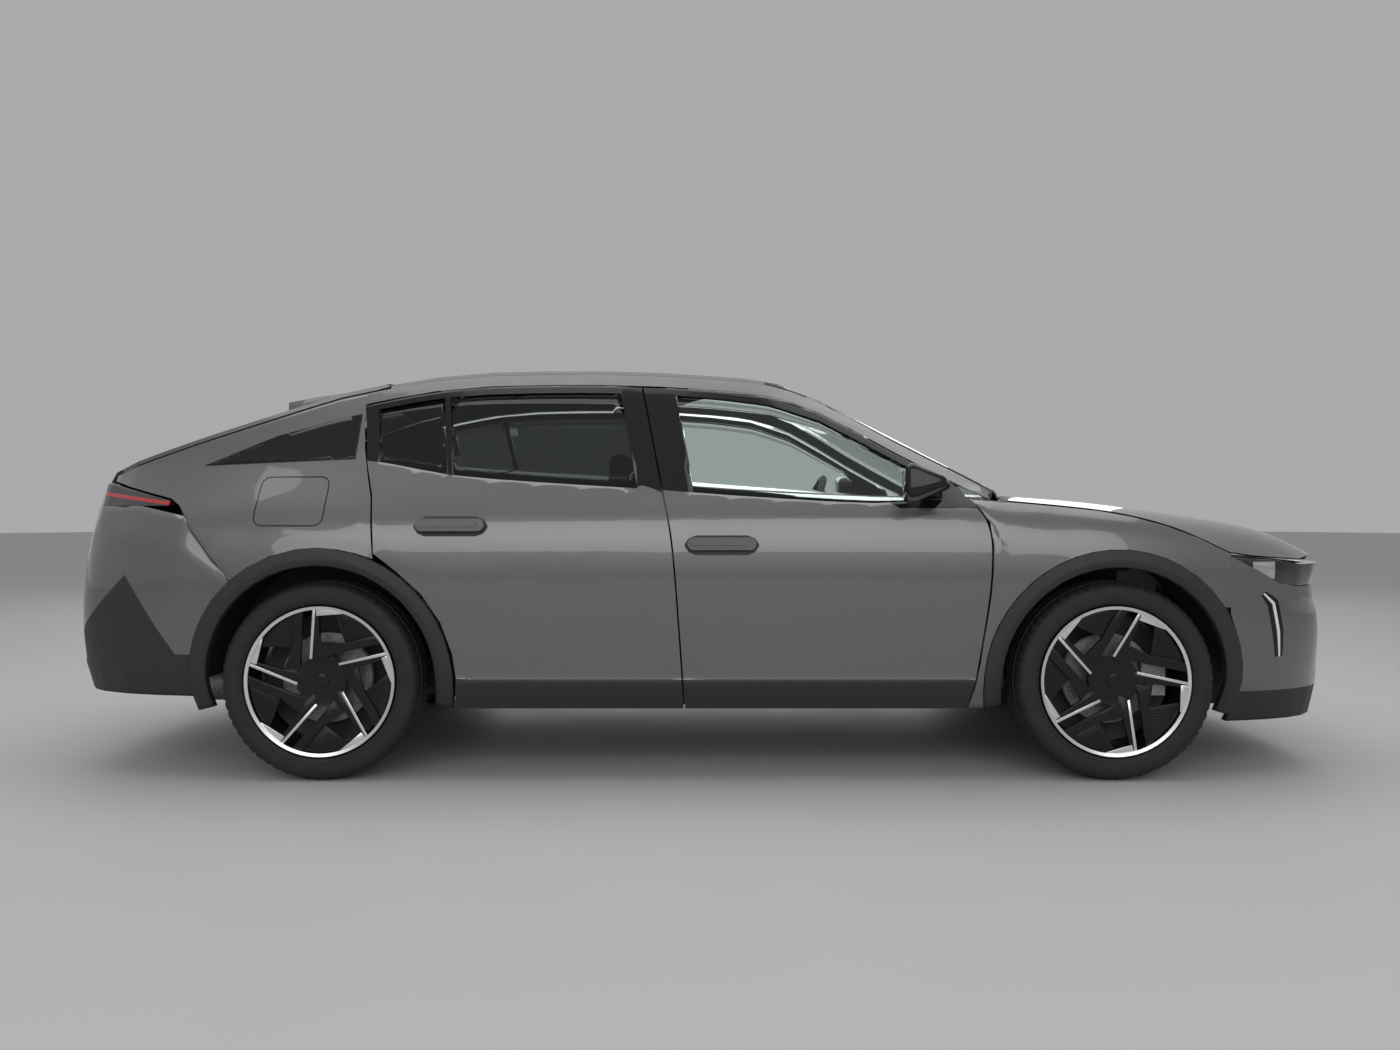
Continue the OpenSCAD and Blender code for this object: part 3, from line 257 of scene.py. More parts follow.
DOORS = ["door_front_left", "door_front_right", "door_rear_left", "door_rear_right"]
CLAD, TRIMMED, LINED = 1, 2, 3
CLADDING_TOP = 0.36
SAIL_FOOT = 0.957
SAIL_TOP, SAIL_BASE = (0.64, 0.99), (0.7, 0.957)
sail_run, sail_rise = SAIL_BASE[0] - SAIL_TOP[0], SAIL_BASE[1] - SAIL_TOP[1]
SAIL_CUTS = [((0, 0, SAIL_FOOT), (0, 0, 1)),
             ((SAIL_TOP[0], 0, SAIL_TOP[1]), (-sail_rise, 0, sail_run))]
WAIST = [(-1.24, 1.13), (-0.86, 1.075), (-0.13, 1.021), (0.15, 1.0), (0.64, 0.975), (0.96, 1.0)]
TRIM_ABOVE_WAIST = 0.004


def waist_at(x):
    for (x0, z0), (x1, z1) in zip(WAIST, WAIST[1:]):
        if x <= x1:
            return z0 + (z1 - z0) * (x - x0) / (x1 - x0)
    return WAIST[-1][1]


def cut_along(cuts, **options):
    bpy.ops.object.mode_set(mode="EDIT")
    for point, normal in cuts:
        bpy.ops.mesh.select_all(action="SELECT")
        bpy.ops.mesh.bisect(plane_co=point, plane_no=normal, **options)
    leave_edit()


for node in DOORS:
    door = copy_of(node, node + "_skin")
    draw_smooth(door)
    has_sail = node.startswith("door_front")
    if has_sail:
        cut_along(SAIL_CUTS)
    for finish in (paint, cladding_plastic, gloss_black, cabin_plastic):
        door.data.materials.append(finish)
    to_cabin = -1 if node.endswith("left") else 1
    for face in door.data.polygons:
        x, z = face.center.x, face.center.z
        sail_x = SAIL_TOP[0] + (z - SAIL_TOP[1]) * sail_run / sail_rise
        on_sail = has_sail and z > SAIL_FOOT and x > sail_x
        if face.normal.y * to_cabin > INWARD:
            face.material_index = LINED
        elif z < CLADDING_TOP:
            face.material_index = CLAD
        elif z > waist_at(x) + TRIM_ABOVE_WAIST or on_sail:
            face.material_index = TRIMMED
    stands_for(door, node)


# Door handles: painted pull grips, bolted through the skin over moulded cups.
# Each cup is drawn as a dark plate of painted shade for the hollow behind the grip, and both are thin
# plates pressed on to the door.
STRIP_STEP = 0.015
STRIP_START = 1.3


def strip_on(name, path, half_widths, skin, side, finish, lift=0.0012, thick=0.003):
    points, widths = [], []
    for (a, b), (wa, wb) in zip(zip(path, path[1:]), zip(half_widths, half_widths[1:])):
        count = max(1, int(math.dist(a, b) / STRIP_STEP))
        for k in range(count):
            t = k / count
            points.append((a[0] + (b[0] - a[0]) * t, a[1] + (b[1] - a[1]) * t))
            widths.append(wa + (wb - wa) * t)
    points.append(path[-1])
    widths.append(half_widths[-1])
    out = -STRIP_START if side == "right" else STRIP_START
    corners, faces = [], []
    for k, (x, z) in enumerate(points):
        before, after = points[max(k - 1, 0)], points[min(k + 1, len(points) - 1)]
        along = Vector((after[0] - before[0], after[1] - before[1])).normalized()
        for s in (-1, 1):
            corners.append((x - s * along.y * widths[k], out, z + s * along.x * widths[k]))
        if k:
            faces.append((2 * k - 2, 2 * k - 1, 2 * k + 1, 2 * k))
    strip = mesh_piece(name, corners, faces)
    shape_by(strip, "SHRINKWRAP", target=skin, wrap_method="PROJECT", use_project_y=True,
             use_positive_direction=side == "right", use_negative_direction=side == "left",
             offset=lift)
    shape_by(strip, "SOLIDIFY", thickness=thick, offset=0)
    shade_below(SHADE_ANGLE)
    strip.data.materials.append(finish)
    return strip


HANDLES = {"front": (0.074, 0.829), "rear": (-0.871, 0.894)}
# Each dark plate under a grip is painted shade standing for the hollow of its cup.
SHADE_CUP_ENDS = [-0.129, -0.115, -0.09, 0.09, 0.115, 0.129]
SHADE_CUP_WIDTHS = [0.004, 0.024, 0.034, 0.034, 0.024, 0.004]
GRIP_ENDS = [-0.108, -0.1, 0.085, 0.093]
GRIP_WIDTHS = [0.005, 0.01, 0.01, 0.005]
GRIP_RISE = 0.011
GRIP_LIFT = 0.004
GRIP_THICK = 0.005
for place_name, (x, z) in HANDLES.items():
    for side in ("left", "right"):
        node = "door_%s_%s" % (place_name, side)
        skin = bpy.data.objects[node + "_skin"]
        # dark plate of painted shade for the hollow behind the grip
        shade_cup = strip_on("handle_painted_shade_%s_%s" % (place_name, side), [(x + e, z) for e in SHADE_CUP_ENDS],
                       SHADE_CUP_WIDTHS, skin, side, cladding_plastic)
        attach(shade_cup, node)
        grip = strip_on("handle_grip_%s_%s" % (place_name, side),
                        [(x + e, z + GRIP_RISE) for e in GRIP_ENDS], GRIP_WIDTHS, skin, side, paint,
                        GRIP_LIFT, GRIP_THICK)
        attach(grip, node)


# Rear quarters and side frames: welded body sides with the roof rail and the pillars.
# The B-pillar is covered in gloss black, and a black panel carries the window line on to the tail.
# A fine dark line of painted shade on the right quarter stands for the gap round the fuel flap.
TRIM_THICK = 0.0025
PILLAR_SPAN = (-0.45, 0.1)
PILLAR_RISE = 0.36
WINDOW_CUTS = [((-1.24, 0, 1.135), (0.04, 0, -1)), ((-1.25, 0, 1.305), (-0.28, 0, 1)),
               ((-1.6, 0, 1.2), (-0.42, 0, 1)), ((-1.246, 0, 1.2), (1, 0, 0))]
OUTWARD = 0.3
for side in ("left", "right"):
    outside = 1 if side == "left" else -1
    quarter = copy_of("quarter_" + side, "quarter_%s_skin" % side)
    draw_smooth(quarter)
    quarter.data.materials.append(paint)
    quarter.data.materials.append(liner_felt)
    for face in quarter.data.polygons:
        face.material_index = 1 if -outside * face.normal.y > INWARD else 0
    stands_for(quarter, "quarter_" + side)

    side_frame = copy_of("side_frame_" + side, "side_frame_%s_skin" % side)
    draw_smooth(side_frame)
    side_frame.data.materials.append(paint)
    side_frame.data.materials.append(gloss_black)
    for face in side_frame.data.polygons:
        x, z = face.center.x, face.center.z
        if PILLAR_SPAN[0] < x < PILLAR_SPAN[1] and z < waist_at(x) + PILLAR_RISE:
            face.material_index = 1
    stands_for(side_frame, "side_frame_" + side)

    window_panel = duplicate(quarter, "window_panel_" + side)
    select_only(window_panel)
    cut_along(WINDOW_CUTS, clear_outer=True)
    for face in window_panel.data.polygons:
        face.select = face.normal.y * outside < OUTWARD
    bpy.ops.object.mode_set(mode="EDIT")
    bpy.ops.mesh.select_mode(type="FACE")
    bpy.ops.mesh.delete(type="FACE")
    leave_edit()
    shape_by(window_panel, "SOLIDIFY", thickness=TRIM_THICK, offset=1)
    window_panel.data.materials.clear()
    window_panel.data.materials.append(gloss_black)
    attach(window_panel, "shell")


def polar(radius, degrees):
    return radius * math.cos(math.radians(degrees)), radius * math.sin(math.radians(degrees))


# The dark strip round the fuel flap is painted shade for the gap, laid on the quarter in gloss black.
FLAP_X, FLAP_Z = (-1.571, -1.323), (0.896, 1.069)
FLAP_CORNER = 0.03
FLAP_SHADE_HALF_WIDTH = 0.0018
rear_x, front_x = FLAP_X[0] + FLAP_CORNER, FLAP_X[1] - FLAP_CORNER
low_z, high_z = FLAP_Z[0] + FLAP_CORNER, FLAP_Z[1] - FLAP_CORNER
flap_shade_line = []
for x, z, start in ((front_x, high_z, 0), (rear_x, high_z, 90), (rear_x, low_z, 180),
                    (front_x, low_z, 270)):
    for turn in (0, 30, 60, 90):
        along_x, along_z = polar(FLAP_CORNER, start + turn)
        flap_shade_line.append((x + along_x, z + along_z))
flap_shade_line.append(flap_shade_line[0])
flap_gap_shade = strip_on("fuel_flap_gap_shade", flap_shade_line, [FLAP_SHADE_HALF_WIDTH] * len(flap_shade_line),
                bpy.data.objects["quarter_right_skin"], "right", gloss_black,
                lift=0.0004, thick=0.001)
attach(flap_gap_shade, "shell")


# Bumpers: moulded shells clipped to the body, painted above and bare grained plastic below.
# The black lower band carries on the line of the arch cladding round both ends.
# The grille is a moulded insert in gloss black.
FRONT_BLACK_TOP = 0.305
REAR_SIDE_TOP = 0.443
REAR_PEAK = (-2.045, 0.721)
REAR_SLANT = (-1.856 - REAR_PEAK[0], 0.448 - REAR_PEAK[1])
REAR_CLIMB = (REAR_PEAK[0] + 2.132, REAR_PEAK[1] - 0.641)
peak_point = (REAR_PEAK[0], 0, REAR_PEAK[1])
BLACK_CUTS = {
    "front_bumper": [((0, 0, FRONT_BLACK_TOP), (0, 0, 1))],
    "rear_bumper": [((0, 0, REAR_SIDE_TOP), (0, 0, 1)),
                    (peak_point, (-REAR_CLIMB[1], 0, REAR_CLIMB[0])),
                    (peak_point, (-REAR_SLANT[1], 0, REAR_SLANT[0]))]}
for node, cuts in BLACK_CUTS.items():
    bumper = copy_of(node, node + "_skin")
    draw_smooth(bumper)
    cut_along(cuts)
    bumper.data.materials.append(paint)
    bumper.data.materials.append(cladding_plastic)
    for face in bumper.data.polygons:
        x, z = face.center.x, face.center.z
        black_top = FRONT_BLACK_TOP
        if node == "rear_bumper":
            slant_z = REAR_PEAK[1] + (x - REAR_PEAK[0]) * REAR_SLANT[1] / REAR_SLANT[0]
            climb_z = REAR_PEAK[1] + (x - REAR_PEAK[0]) * REAR_CLIMB[1] / REAR_CLIMB[0]
            black_top = max(REAR_SIDE_TOP, min(slant_z, climb_z))
        face.material_index = 1 if z < black_top else 0
    stands_for(bumper, node)

for node, finish, slot in (("arch_cladding", cladding_plastic, "dark_plastic"),
                           ("grille", gloss_black, "gloss_black")):
    trim = copy_of(node, node + "_skin")
    draw_smooth(trim)
    trim.data.materials.append(finish)
    stands_for(trim, node)


# Radiator: a brazed core of thin coated fins between two moulded end tanks, behind the grille.
# The fins stand on a core plate, and the tanks are clamped to its ends.
CORE_X = 2.2
CORE_HALF = 0.43
CORE_FOOT, CORE_TOP = 0.225, 0.66
CORE_PITCH = 0.011
CORE_FIN_DEPTH, CORE_FIN_THICK = 0.022, 0.003
CORE_PLATE_REAR, CORE_PLATE_FRONT = 0.012, 0.002
TANK_REAR, TANK_FRONT = 0.02, 0.03
TANK_HALF = 0.022
TANK_OVER = 0.01
TANK_ROUND = 0.008
BLOCK_FACES = [(0, 1, 3, 2), (4, 6, 7, 5), (0, 4, 5, 1), (2, 3, 7, 6), (0, 2, 6, 4), (1, 5, 7, 3)]
SMALL_SHADE_ANGLE = 35


def block(name, low, high):
    corners = [(x, y, z) for x in (low[0], high[0]) for y in (low[1], high[1])
               for z in (low[2], high[2])]
    piece = mesh_piece(name, corners, BLOCK_FACES)
    turn_outward()
    piece.data.materials.append(cladding_plastic)
    return piece


def join_into(main, pieces):
    bpy.ops.object.select_all(action="DESELECT")
    for piece in pieces:
        piece.select_set(True)
    bpy.context.view_layer.objects.active = main
    bpy.ops.object.join()


radiator = block("radiator", (CORE_X, -CORE_HALF, CORE_FOOT),
                 (CORE_X + CORE_FIN_DEPTH, CORE_FIN_THICK - CORE_HALF, CORE_TOP))
shape_by(radiator, "ARRAY", count=int(2 * CORE_HALF / CORE_PITCH), use_relative_offset=False,
         use_constant_offset=True, constant_offset_displace=(0, CORE_PITCH, 0))
holders = [block("core_plate", (CORE_X - CORE_PLATE_REAR, -CORE_HALF, CORE_FOOT),
                 (CORE_X + CORE_PLATE_FRONT, CORE_HALF, CORE_TOP))]
for end in (-CORE_HALF, CORE_HALF):
    tank = block("end_tank", (CORE_X - TANK_REAR, end - TANK_HALF, CORE_FOOT - TANK_OVER),
                 (CORE_X + TANK_FRONT, end + TANK_HALF, CORE_TOP + TANK_OVER))
    shape_by(tank, "BEVEL", width=TANK_ROUND, segments=3)
    holders.append(tank)
join_into(radiator, holders + [radiator])
shade_below(SMALL_SHADE_ANGLE)
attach(radiator, "shell")


# Glass: laminated windscreen and toughened side glass, clear in front and privacy tinted behind.
# Each pane is bonded or held in the channel of its frame.
clear_glass = new_finish("clear_glass", (0.86, 0.93, 0.9), 0.0)
privacy_glass = new_finish("privacy_glass", (0.2, 0.215, 0.215), 0.0)
for glass in (clear_glass, privacy_glass):
    shader_input(glass, "Transmission Weight").default_value = 1.0
    shader_input(glass, "IOR").default_value = 1.45
    vary_roughness(glass, 0.0, 0.012, 6)
PANES = {"windscreen": clear_glass, "glass_front_left": clear_glass,
         "glass_front_right": clear_glass, "glass_rear_left": privacy_glass,
         "glass_rear_right": privacy_glass, "rear_window": privacy_glass}
for node, glass in PANES.items():
    pane = copy_of(node, node + "_pane")
    draw_smooth(pane)
    pane.data.materials.append(glass)
    stands_for(pane, node)


# Lamps: polycarbonate lenses bonded to dark housings, smoked in front and behind.
# A bright reflector shows in each headlamp and a red light guide runs along each tail lamp.
# A white daytime light guide stands in a gloss black seat on each front corner of the bumper.
smoked_lens = new_finish("smoked_lens", (0.012, 0.012, 0.014), 0.05)
shader_input(smoked_lens, "Coat Weight").default_value = 1.0
vary_roughness(smoked_lens, 0.03, 0.08, 80)
reflector = new_finish("lamp_reflector", (0.62, 0.64, 0.66), 0.14, metallic=0.85)
vary_roughness(reflector, 0.08, 0.22, 220)
lamp_red = new_finish("red_light_guide", (0.42, 0.006, 0.008), 0.12)
shader_input(lamp_red, "Coat Weight").default_value = 1.0
vary_roughness(lamp_red, 0.06, 0.16, 120)
light_guide = new_finish("white_light_guide", (0.78, 0.79, 0.8), 0.2)
vary_roughness(light_guide, 0.14, 0.26, 150)
REFLECTOR_X, REFLECTOR_Z = (1.945, 2.035), (0.708, 0.768)
RED_REAR, RED_FRONT = (-2.257, 1.016), (-1.905, 0.975)
RED_HALF = 0.0065
red_run, red_rise = RED_FRONT[0] - RED_REAR[0], RED_FRONT[1] - RED_REAR[1]
LAMP_CUTS = {
    "headlamps": ([((x, 0, 0), (1, 0, 0)) for x in REFLECTOR_X]
                  + [((0, 0, z), (0, 0, 1)) for z in REFLECTOR_Z]),
    "tail_lamps": [((RED_REAR[0], 0, RED_REAR[1] + e * RED_HALF), (-red_rise, 0, red_run))
                   for e in (-1, 1)]}
for node, cuts in LAMP_CUTS.items():
    lamp = copy_of(node, node + "_lens")
    draw_smooth(lamp)
    cut_along(cuts)
    lamp.data.materials.append(smoked_lens)
    lamp.data.materials.append(reflector if node == "headlamps" else lamp_red)
    for face in lamp.data.polygons:
        x, z = face.center.x, face.center.z
        if node == "headlamps":
            lit = (REFLECTOR_X[0] < x < REFLECTOR_X[1]
                   and REFLECTOR_Z[0] < z < REFLECTOR_Z[1])
        else:
            middle = RED_REAR[1] + (x - RED_REAR[0]) * red_rise / red_run
            lit = abs(z - middle) < RED_HALF
        face.material_index = 1 if lit else 0
    stands_for(lamp, node)

DAY_LIGHT = [(1.99, 0.655), (2.03, 0.62), (2.052, 0.52), (2.06, 0.43)]
DAY_STRIPS = [("day_light_seat_", gloss_black, [0.01, 0.022, 0.022, 0.014], 0.0008, "gloss_black"),
              ("day_light_", light_guide, [0.003, 0.0055, 0.0055, 0.003], 0.003, "lamp_clear")]
for side in ("left", "right"):
    for name, finish, widths, lift, slot in DAY_STRIPS:
        guide = strip_on(name + side, DAY_LIGHT, widths, bpy.data.objects["front_bumper_skin"],
                         side, finish, lift)
        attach(guide, "shell")


# Underbody: pressed floor with a bolted-on subframe and axle, all under black chassis paint.
# Engine, exhaust and knuckles are bare cast metal, and the wheelhouses are lined with pressed felt.
chassis_paint = new_finish("chassis_paint", (0.035, 0.035, 0.037), 0.55, metallic=0.3)
vary_roughness(chassis_paint, 0.4, 0.7, 25)
add_grain(chassis_paint, 300, 0.0006, 0.35)
cast_metal = new_finish("cast_metal", (0.3, 0.3, 0.31), 0.5, metallic=0.9)
vary_colour(cast_metal, (0.22, 0.22, 0.23), (0.36, 0.36, 0.37), 120)
add_grain(cast_metal, 700, 0.0005, 0.4)
UNDERBODY = {"floor_pan": chassis_paint, "front_subframe": chassis_paint,
             "rear_axle": chassis_paint, "engine_block": cast_metal, "exhaust": cast_metal,
             "knuckle_left": cast_metal, "knuckle_right": cast_metal, "wheel_liners": liner_felt}
for node, finish in UNDERBODY.items():
    frame["nodes"][node].data.materials.clear()
    frame["nodes"][node].data.materials.append(finish)


# Cabin: a moulded dashboard under a soft grained skin, and a steering wheel bound in leather.
# The door mirrors outside are gloss black housings, each on a short foot.
cabin_leather = new_finish("wheel_leather", (0.02, 0.02, 0.021), 0.5)
vary_roughness(cabin_leather, 0.4, 0.6, 90)
add_grain(cabin_leather, 1700, 0.0005, 0.6)
CABIN = {"dashboard": (cabin_plastic, 0.018), "steering_wheel": (cabin_leather, 0.003),
         "mirror_left": (gloss_black, 0.006), "mirror_right": (gloss_black, 0.006)}
CABIN_EDGE_ANGLE = 35
CABIN_SHADE_ANGLE = 45
for node, (finish, radius) in CABIN.items():
    piece = copy_of(node, node + "_skin")
    shape_by(piece, "BEVEL", width=radius, segments=3, limit_method="ANGLE",
             angle_limit=math.radians(CABIN_EDGE_ANGLE))
    shade_below(CABIN_SHADE_ANGLE)
    piece.data.materials.append(finish)
    stands_for(piece, node)


# Wheels: cast alloy in gloss black, machined bright along the ring and five slanting lines.
# Each holds a low-profile radial tyre, a cast brake disc, five bolts and a plain cap.
# A pressed dust shield stands behind the disc, and a felt lip closes the wheelhouse to the body side.
tyre_rubber = new_finish("tyre_rubber", (0.012, 0.012, 0.013), 0.72)
vary_roughness(tyre_rubber, 0.6, 0.82, 40)
add_grain(tyre_rubber, 900, 0.0005, 0.4)
bright_alloy = new_finish("machined_alloy", (0.72, 0.73, 0.74), 0.24, metallic=0.9)
vary_roughness(bright_alloy, 0.16, 0.32, 260)
wheel_black = new_finish("wheel_black", (0.012, 0.013, 0.015), 0.2, metallic=0.2)
vary_roughness(wheel_black, 0.12, 0.3, 60)
shader_input(wheel_black, "Specular IOR Level").default_value = 0.3
WHEEL_R = 0.266
SPOKES = 5
FACE_AT_HUB, FACE_FALL = 0.074, 0.024
RING_STEPS, SMALL_RING_STEPS = 96, 48
TREAD_PITCH = 4


def face_y(x, z):
    return -(FACE_AT_HUB + FACE_FALL * math.hypot(x, z))


def plate(outline, proud, depth, edge, finish):
    corners = [(x * WHEEL_R, face_y(x, z) - proud, z * WHEEL_R) for x, z in outline]
    piece = mesh_piece("plate", corners, [list(range(len(outline)))])
    enter_edit()
    bpy.ops.mesh.extrude_region_move(TRANSFORM_OT_translate={"value": (0, depth, 0)})
    leave_edit()
    turn_outward()
    shape_by(piece, "BEVEL", width=edge, segments=2)
    piece.data.materials.append(finish)
    return piece


def revolve(profile, finish, steps=RING_STEPS, cut_points=(), cut_depth=0.0):
    corners, faces, count = [], [], len(profile)
    for s in range(steps):
        angle = 2 * math.pi * s / steps
        for i, (r, y) in enumerate(profile):
            r = r - (cut_depth if i in cut_points and s % TREAD_PITCH == 0 else 0)
            corners.append((r * math.cos(angle), y, r * math.sin(angle)))
        for i in range(count):
            a, b = s * count, (s + 1) % steps * count
            faces.append((a + i, a + (i + 1) % count, b + (i + 1) % count, b + i))
    piece = mesh_piece("ring", corners, faces)
    turn_outward()
    piece.data.materials.append(finish)
    return piece


def turned(outline, degrees):
    c, s = math.cos(math.radians(degrees)), math.sin(math.radians(degrees))
    return [(x * c - z * s, x * s + z * c) for x, z in outline]


ARM = [(-0.145, 0.27), (-0.092, 0.945), (-0.02, 0.945), (-0.012, 0.515), (0.03, 0.4), (-0.02, 0.2)]
BAR = [(-0.03, 0.515), (0.02, 0.3), (0.193, 0.353), (0.82, 0.5), (0.74, 0.6), (0.63, 0.585),
       (0.3, 0.5)]
INSERT = [(0.18, 0.9), (0.34, 0.89), (0.557, 0.76), (0.74, 0.6), (0.63, 0.575), (0.31, 0.5)]
LINE = [(-0.153, 0.289), (-0.095, 0.95), (-0.057, 0.95), (-0.119, 0.289)]
WEDGE_FROM, WEDGE_TO, WEDGE_STEPS = 93, 71, 8
WEDGE = [polar(0.955, WEDGE_FROM + (WEDGE_TO - WEDGE_FROM) * k / WEDGE_STEPS)
         for k in range(WEDGE_STEPS + 1)] + [polar(0.94, WEDGE_TO), polar(0.865, WEDGE_FROM)]
DARK_PLATES = [(ARM, 0, 0.02, 0.002), (BAR, -0.001, 0.018, 0.002), (INSERT, -0.008, 0.006, 0.001)]
BRIGHT_PLATES = [(LINE, 0.0022, 0.006, 0.0006), (WEDGE, 0.0022, 0.006, 0.0006)]
RIBS = 9
RIB_STEP = 0.1
RIB_HALF = 0.008
RIB_PLATE = (-0.0055, 0.004, 0.0005)
BOLT_CIRCLE, BOLT_R = 0.19, 0.042
BOLT_PLATE = (-0.004, 0.014, 0.001)
BARREL = [(0.2655, -0.1045), (0.2655, 0.1045), (0.252, 0.1045), (0.25, 0.06), (0.236, -0.02),
          (0.25, -0.07), (0.2535, -0.1)]
BRIGHT_RING = [(0.2525, -0.1025), (0.2635, -0.1058), (0.2635, -0.1), (0.2525, -0.097)]
HUB_FACE = [(0.0005, -0.0765), (0.045, -0.0765), (0.066, -0.077), (0.088, -0.081), (0.09, -0.06),
            (0.0005, -0.06)]
CAP = [(0.0005, -0.0835), (0.014, -0.083), (0.024, -0.0805), (0.026, -0.074), (0.0005, -0.074)]
DISC = [(0.0225, -0.012), (0.16, -0.012), (0.16, -0.004), (0.15, -0.002), (0.15, 0.004),
        (0.16, 0.006), (0.16, 0.013), (0.0225, 0.013)]
DISC_HAT = [(0.0225, -0.06), (0.066, -0.06), (0.072, -0.012), (0.0225, -0.012)]
TURNINGS = [(BARREL, wheel_black, RING_STEPS), (BRIGHT_RING, bright_alloy, RING_STEPS),
            (HUB_FACE, wheel_black, RING_STEPS), (CAP, wheel_black, SMALL_RING_STEPS),
            (DISC, cast_metal, RING_STEPS), (DISC_HAT, cast_metal, SMALL_RING_STEPS)]
pieces = []
for k in range(SPOKES):
    turn = -360 / SPOKES * k
    for outline, proud, depth, edge in DARK_PLATES:
        pieces.append(plate(turned(outline, turn), proud, depth, edge, wheel_black))
    for rib in range(RIBS):
        t = RIB_STEP + rib * RIB_STEP
        top = (0.2 + 0.5 * t, 0.88 - 0.26 * t ** 1.6)
        foot = (0.31 + 0.33 * t, 0.51 + 0.08 * t)
        outline = [(foot[0] - RIB_HALF, foot[1]), (top[0] - RIB_HALF, top[1]),
                   (top[0] + RIB_HALF, top[1]), (foot[0] + RIB_HALF, foot[1])]
        pieces.append(plate(turned(outline, turn), *RIB_PLATE, wheel_black))
    for outline, proud, depth, edge in BRIGHT_PLATES:
        pieces.append(plate(turned(outline, turn), proud, depth, edge, bright_alloy))
    bolt_x, bolt_z = turned([(0.0, BOLT_CIRCLE)], turn + 180 / SPOKES)[0]
    hexagon = [(bolt_x + BOLT_R * math.cos(a * math.pi / 3),
                bolt_z + BOLT_R * math.sin(a * math.pi / 3)) for a in range(6)]
    pieces.append(plate(hexagon, *BOLT_PLATE, cast_metal))
for profile, finish, steps in TURNINGS:
    pieces.append(revolve(profile, finish, steps))
wheel_model = pieces[0]
join_into(wheel_model, pieces)
shade_below(SMALL_SHADE_ANGLE)

HALF_TYRE = [(0.2665, -0.094), (0.272, -0.1035), (0.28, -0.108), (0.2835, -0.1105),
             (0.2855, -0.1095), (0.302, -0.1122), (0.318, -0.112), (0.3315, -0.107),
             (0.342, -0.0965), (0.3475, -0.081), (0.349, -0.064), (0.343, -0.062),
             (0.343, -0.053), (0.3495, -0.051), (0.35, -0.022), (0.3435, -0.02),
             (0.3435, -0.011), (0.35, -0.009)]
TREAD_CUTS = [8, 9, 10]
TREAD_DEPTH = 0.0045
TYRE_STEPS = 240
TYRE_SHADE_ANGLE = 28
last_point = 2 * len(HALF_TYRE) - 1
tyre_model = revolve(HALF_TYRE + [(r, -y) for r, y in reversed(HALF_TYRE)], tyre_rubber, TYRE_STEPS,
                     TREAD_CUTS + [last_point - i for i in TREAD_CUTS], TREAD_DEPTH)
shade_below(TYRE_SHADE_ANGLE)

CENTRES = {"front_left": (1.455, 0.778), "front_right": (1.455, -0.778),
           "rear_left": (-1.335, 0.778), "rear_right": (-1.335, -0.778)}
HUB_HEIGHT = 0.35
FRONT_TURN = 24.4
SHIELD = [(0.09, 0.034), (0.2, 0.034), (0.232, 0.026), (0.233, 0.028), (0.2, 0.037), (0.09, 0.037)]
LIP_LINER_R, LIP_LINER_Y = 0.437, -0.008
LIP_FRONT = (0.454, -0.097)
LIP_REAR = (0.46, -0.108)
LIP_THICK = 0.002
LIP_FOOT = 0.2
for corner, (x, y) in CENTRES.items():
    end, side = corner.split("_")
    seat = Matrix.Translation((x, y, HUB_HEIGHT))
    if side == "left":
        seat = seat @ Matrix.Rotation(math.pi, 4, "Z")
    move = seat
    if end == "front":
        move = seat @ Matrix.Rotation(math.radians(FRONT_TURN), 4, "Y")
    for model, kind, slot in ((wheel_model, "rim_", "rim"), (tyre_model, "tyre_", "tyre")):
        wheel = duplicate(model, kind + corner + "_skin")
        wheel.data.transform(move)
        stands_for(wheel, kind + corner)
    shield = revolve(SHIELD, chassis_paint)
    shield.name = "dust_shield_" + corner
    shield.data.transform(move)
    shade_below(SMALL_SHADE_ANGLE)
    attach(shield, body_of_node("knuckle_" + side) if end == "front" else "shell")

    lip_r, lip_end = LIP_FRONT if end == "front" else LIP_REAR
    lip = revolve([(LIP_LINER_R, LIP_LINER_Y), (LIP_LINER_R + LIP_THICK, LIP_LINER_Y),
                   (lip_r + LIP_THICK, lip_end), (lip_r, lip_end)], liner_felt)
    lip.name = "wheelhouse_lip_" + corner
    cut_along([((0, 0, LIP_FOOT), (0, 0, 1))], use_fill=True, clear_inner=True)
    lip.data.transform(seat)
    shade_below(SMALL_SHADE_ANGLE)
    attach(lip, "shell")
for model in (wheel_model, tyre_model):
    bpy.data.objects.remove(model)


# Seats: moulded foam on a steel frame under dark woven cloth with sewn channels.
# Each cushion is its own pad, swelled by cloth simulation and held to the room of its solid.
seat_cloth = new_finish("seat_cloth", (0.028, 0.028, 0.031), 0.9)
vary_colour(seat_cloth, (0.022, 0.022, 0.024), (0.036, 0.036, 0.04), 700)
shader_input(seat_cloth, "Sheen Weight").default_value = 0.3
weave = add_grain(seat_cloth, 1500, 0.0008, 0.5)
cloth_nodes, cloth_links = seat_cloth.node_tree.nodes, seat_cloth.node_tree.links
channel_place = cloth_nodes.new("ShaderNodeTexCoord")
channels = cloth_nodes.new("ShaderNodeTexWave")
channels.bands_direction = "Y"
channels.inputs["Scale"].default_value = 4.2
channel_bump = cloth_nodes.new("ShaderNodeBump")
channel_bump.inputs["Strength"].default_value = 0.35
channel_bump.inputs["Distance"].default_value = 0.006
cloth_links.new(channel_place.outputs["Object"], channels.inputs["Vector"])
cloth_links.new(channels.outputs["Fac"], channel_bump.inputs["Height"])
cloth_links.new(channel_bump.outputs["Normal"], weave.inputs["Normal"])

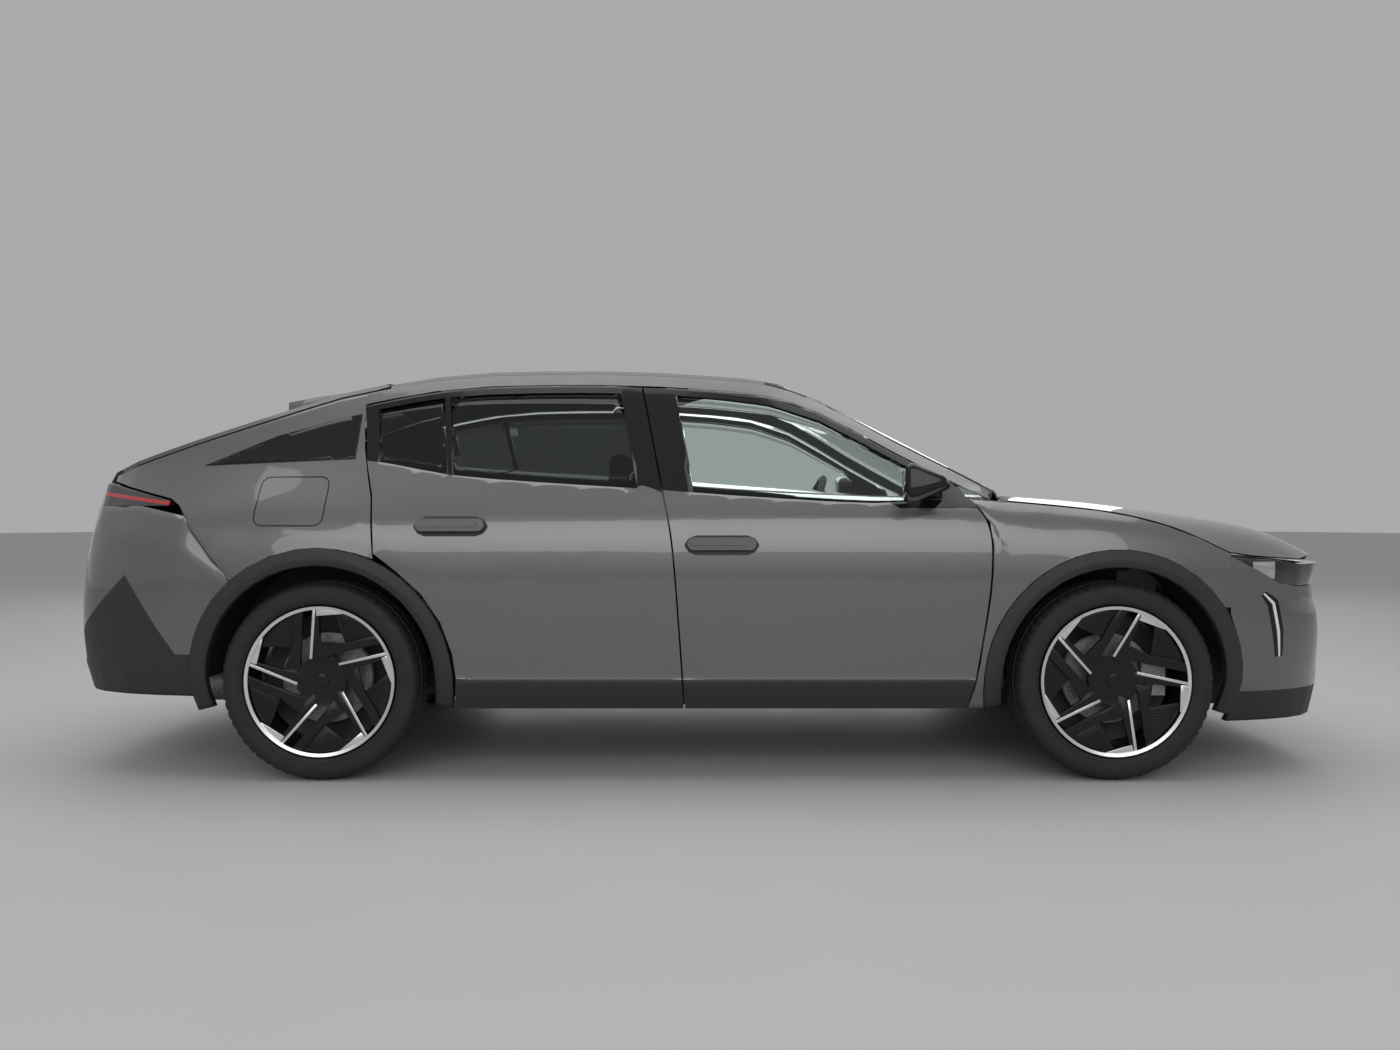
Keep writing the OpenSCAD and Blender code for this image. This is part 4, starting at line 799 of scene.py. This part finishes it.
PAD_SHRINK = 0.007
PAD_VOXEL = 0.016
PAD_CAP = 0.012
PAD_SMOOTHINGS = 6
PAD_PRESSURE = 4
PAD_FRAMES = 20
CLOTH_QUALITY = 4
for node in ("front_seats", "rear_seat"):
    whole = copy_of(node, node + "_pad")
    enter_edit()
    bpy.ops.mesh.separate(type="LOOSE")
    leave_edit()
    cushions = list(bpy.context.selected_objects)
    for cushion in cushions:
        select_only(cushion)
        shape_by(cushion, "REMESH", mode="VOXEL", voxel_size=PAD_VOXEL)
        enter_edit()
        bpy.ops.transform.shrink_fatten(value=-PAD_SHRINK)
        bpy.ops.mesh.vertices_smooth(factor=0.5, repeat=PAD_SMOOTHINGS)
        leave_edit()
        start = [v.co.copy() for v in cushion.data.vertices]
        stuffing = cushion.modifiers.new("stuffing", "CLOTH")
        stuffing.settings.quality = CLOTH_QUALITY
        stuffing.settings.use_pressure = True
        stuffing.settings.uniform_pressure_force = PAD_PRESSURE
        stuffing.settings.effector_weights.gravity = 0
        for step in range(1, PAD_FRAMES + 1):
            bpy.context.scene.frame_set(step)
        bpy.ops.object.modifier_apply(modifier="stuffing")
        bpy.context.scene.frame_set(1)
        for vertex, before in zip(cushion.data.vertices, start):
            moved = vertex.co - before
            if moved.length > PAD_CAP:
                vertex.co = before + moved.normalized() * PAD_CAP
        shape_by(cushion, "SUBSURF", levels=1, render_levels=1)
    join_into(whole, cushions)
    bpy.ops.object.shade_smooth()
    whole.data.materials.clear()
    whole.data.materials.append(seat_cloth)
    stands_for(whole, node)


# Studio: a plain pale floor under a soft overhead box and two side boxes.
# The camera is the photo's: level, square to the right flank and shifted a little downwards.
FLOOR_R = 40
bpy.ops.object.select_all(action="DESELECT")
bpy.ops.mesh.primitive_circle_add(vertices=96, radius=FLOOR_R, fill_type="NGON", location=(0, 0, 0))
floor = bpy.context.object
floor.name = "studio_floor"
floor_paint = new_finish("pale_floor", (0.5, 0.5, 0.495), 0.6)
vary_roughness(floor_paint, 0.5, 0.7, 3)
floor.data.materials.append(floor_paint)

world = bpy.data.worlds.new("studio")
world.use_nodes = True
background = world.node_tree.nodes["Background"]
background.inputs["Color"].default_value = (0.8, 0.81, 0.82, 1)
background.inputs["Strength"].default_value = 0.5
bpy.context.scene.world = world

LIGHTS = [("overhead_box", (0, 0, 5.2), (8.0, 4.6), 160),
          ("near_box", (0, -7.5, 3.6), (10.0, 3.8), 210),
          ("far_box", (0, 7.5, 3.6), (10.0, 3.8), 170)]
LIGHT_AIM = Vector((0, 0, 0.6))
for name, place, size, power in LIGHTS:
    light = bpy.data.lights.new(name, "AREA")
    light.shape = "RECTANGLE"
    light.size, light.size_y = size
    light.energy = power
    lamp_object = bpy.data.objects.new(name, light)
    lamp_object.location = place
    lamp_object.rotation_euler = (LIGHT_AIM - Vector(place)).to_track_quat("-Z", "Y").to_euler()
    bpy.context.collection.objects.link(lamp_object)

camera = bpy.data.objects.new("camera", bpy.data.cameras.new("camera"))
camera.location = (-0.002, -4.9, 0.974)
camera.rotation_euler = (math.radians(90), 0, 0)
camera.data.lens = 29.52
camera.data.sensor_width = 36
camera.data.shift_y = -0.0154
bpy.context.collection.objects.link(camera)
bpy.context.scene.camera = camera
bpy.context.scene.view_settings.view_transform = "Standard"
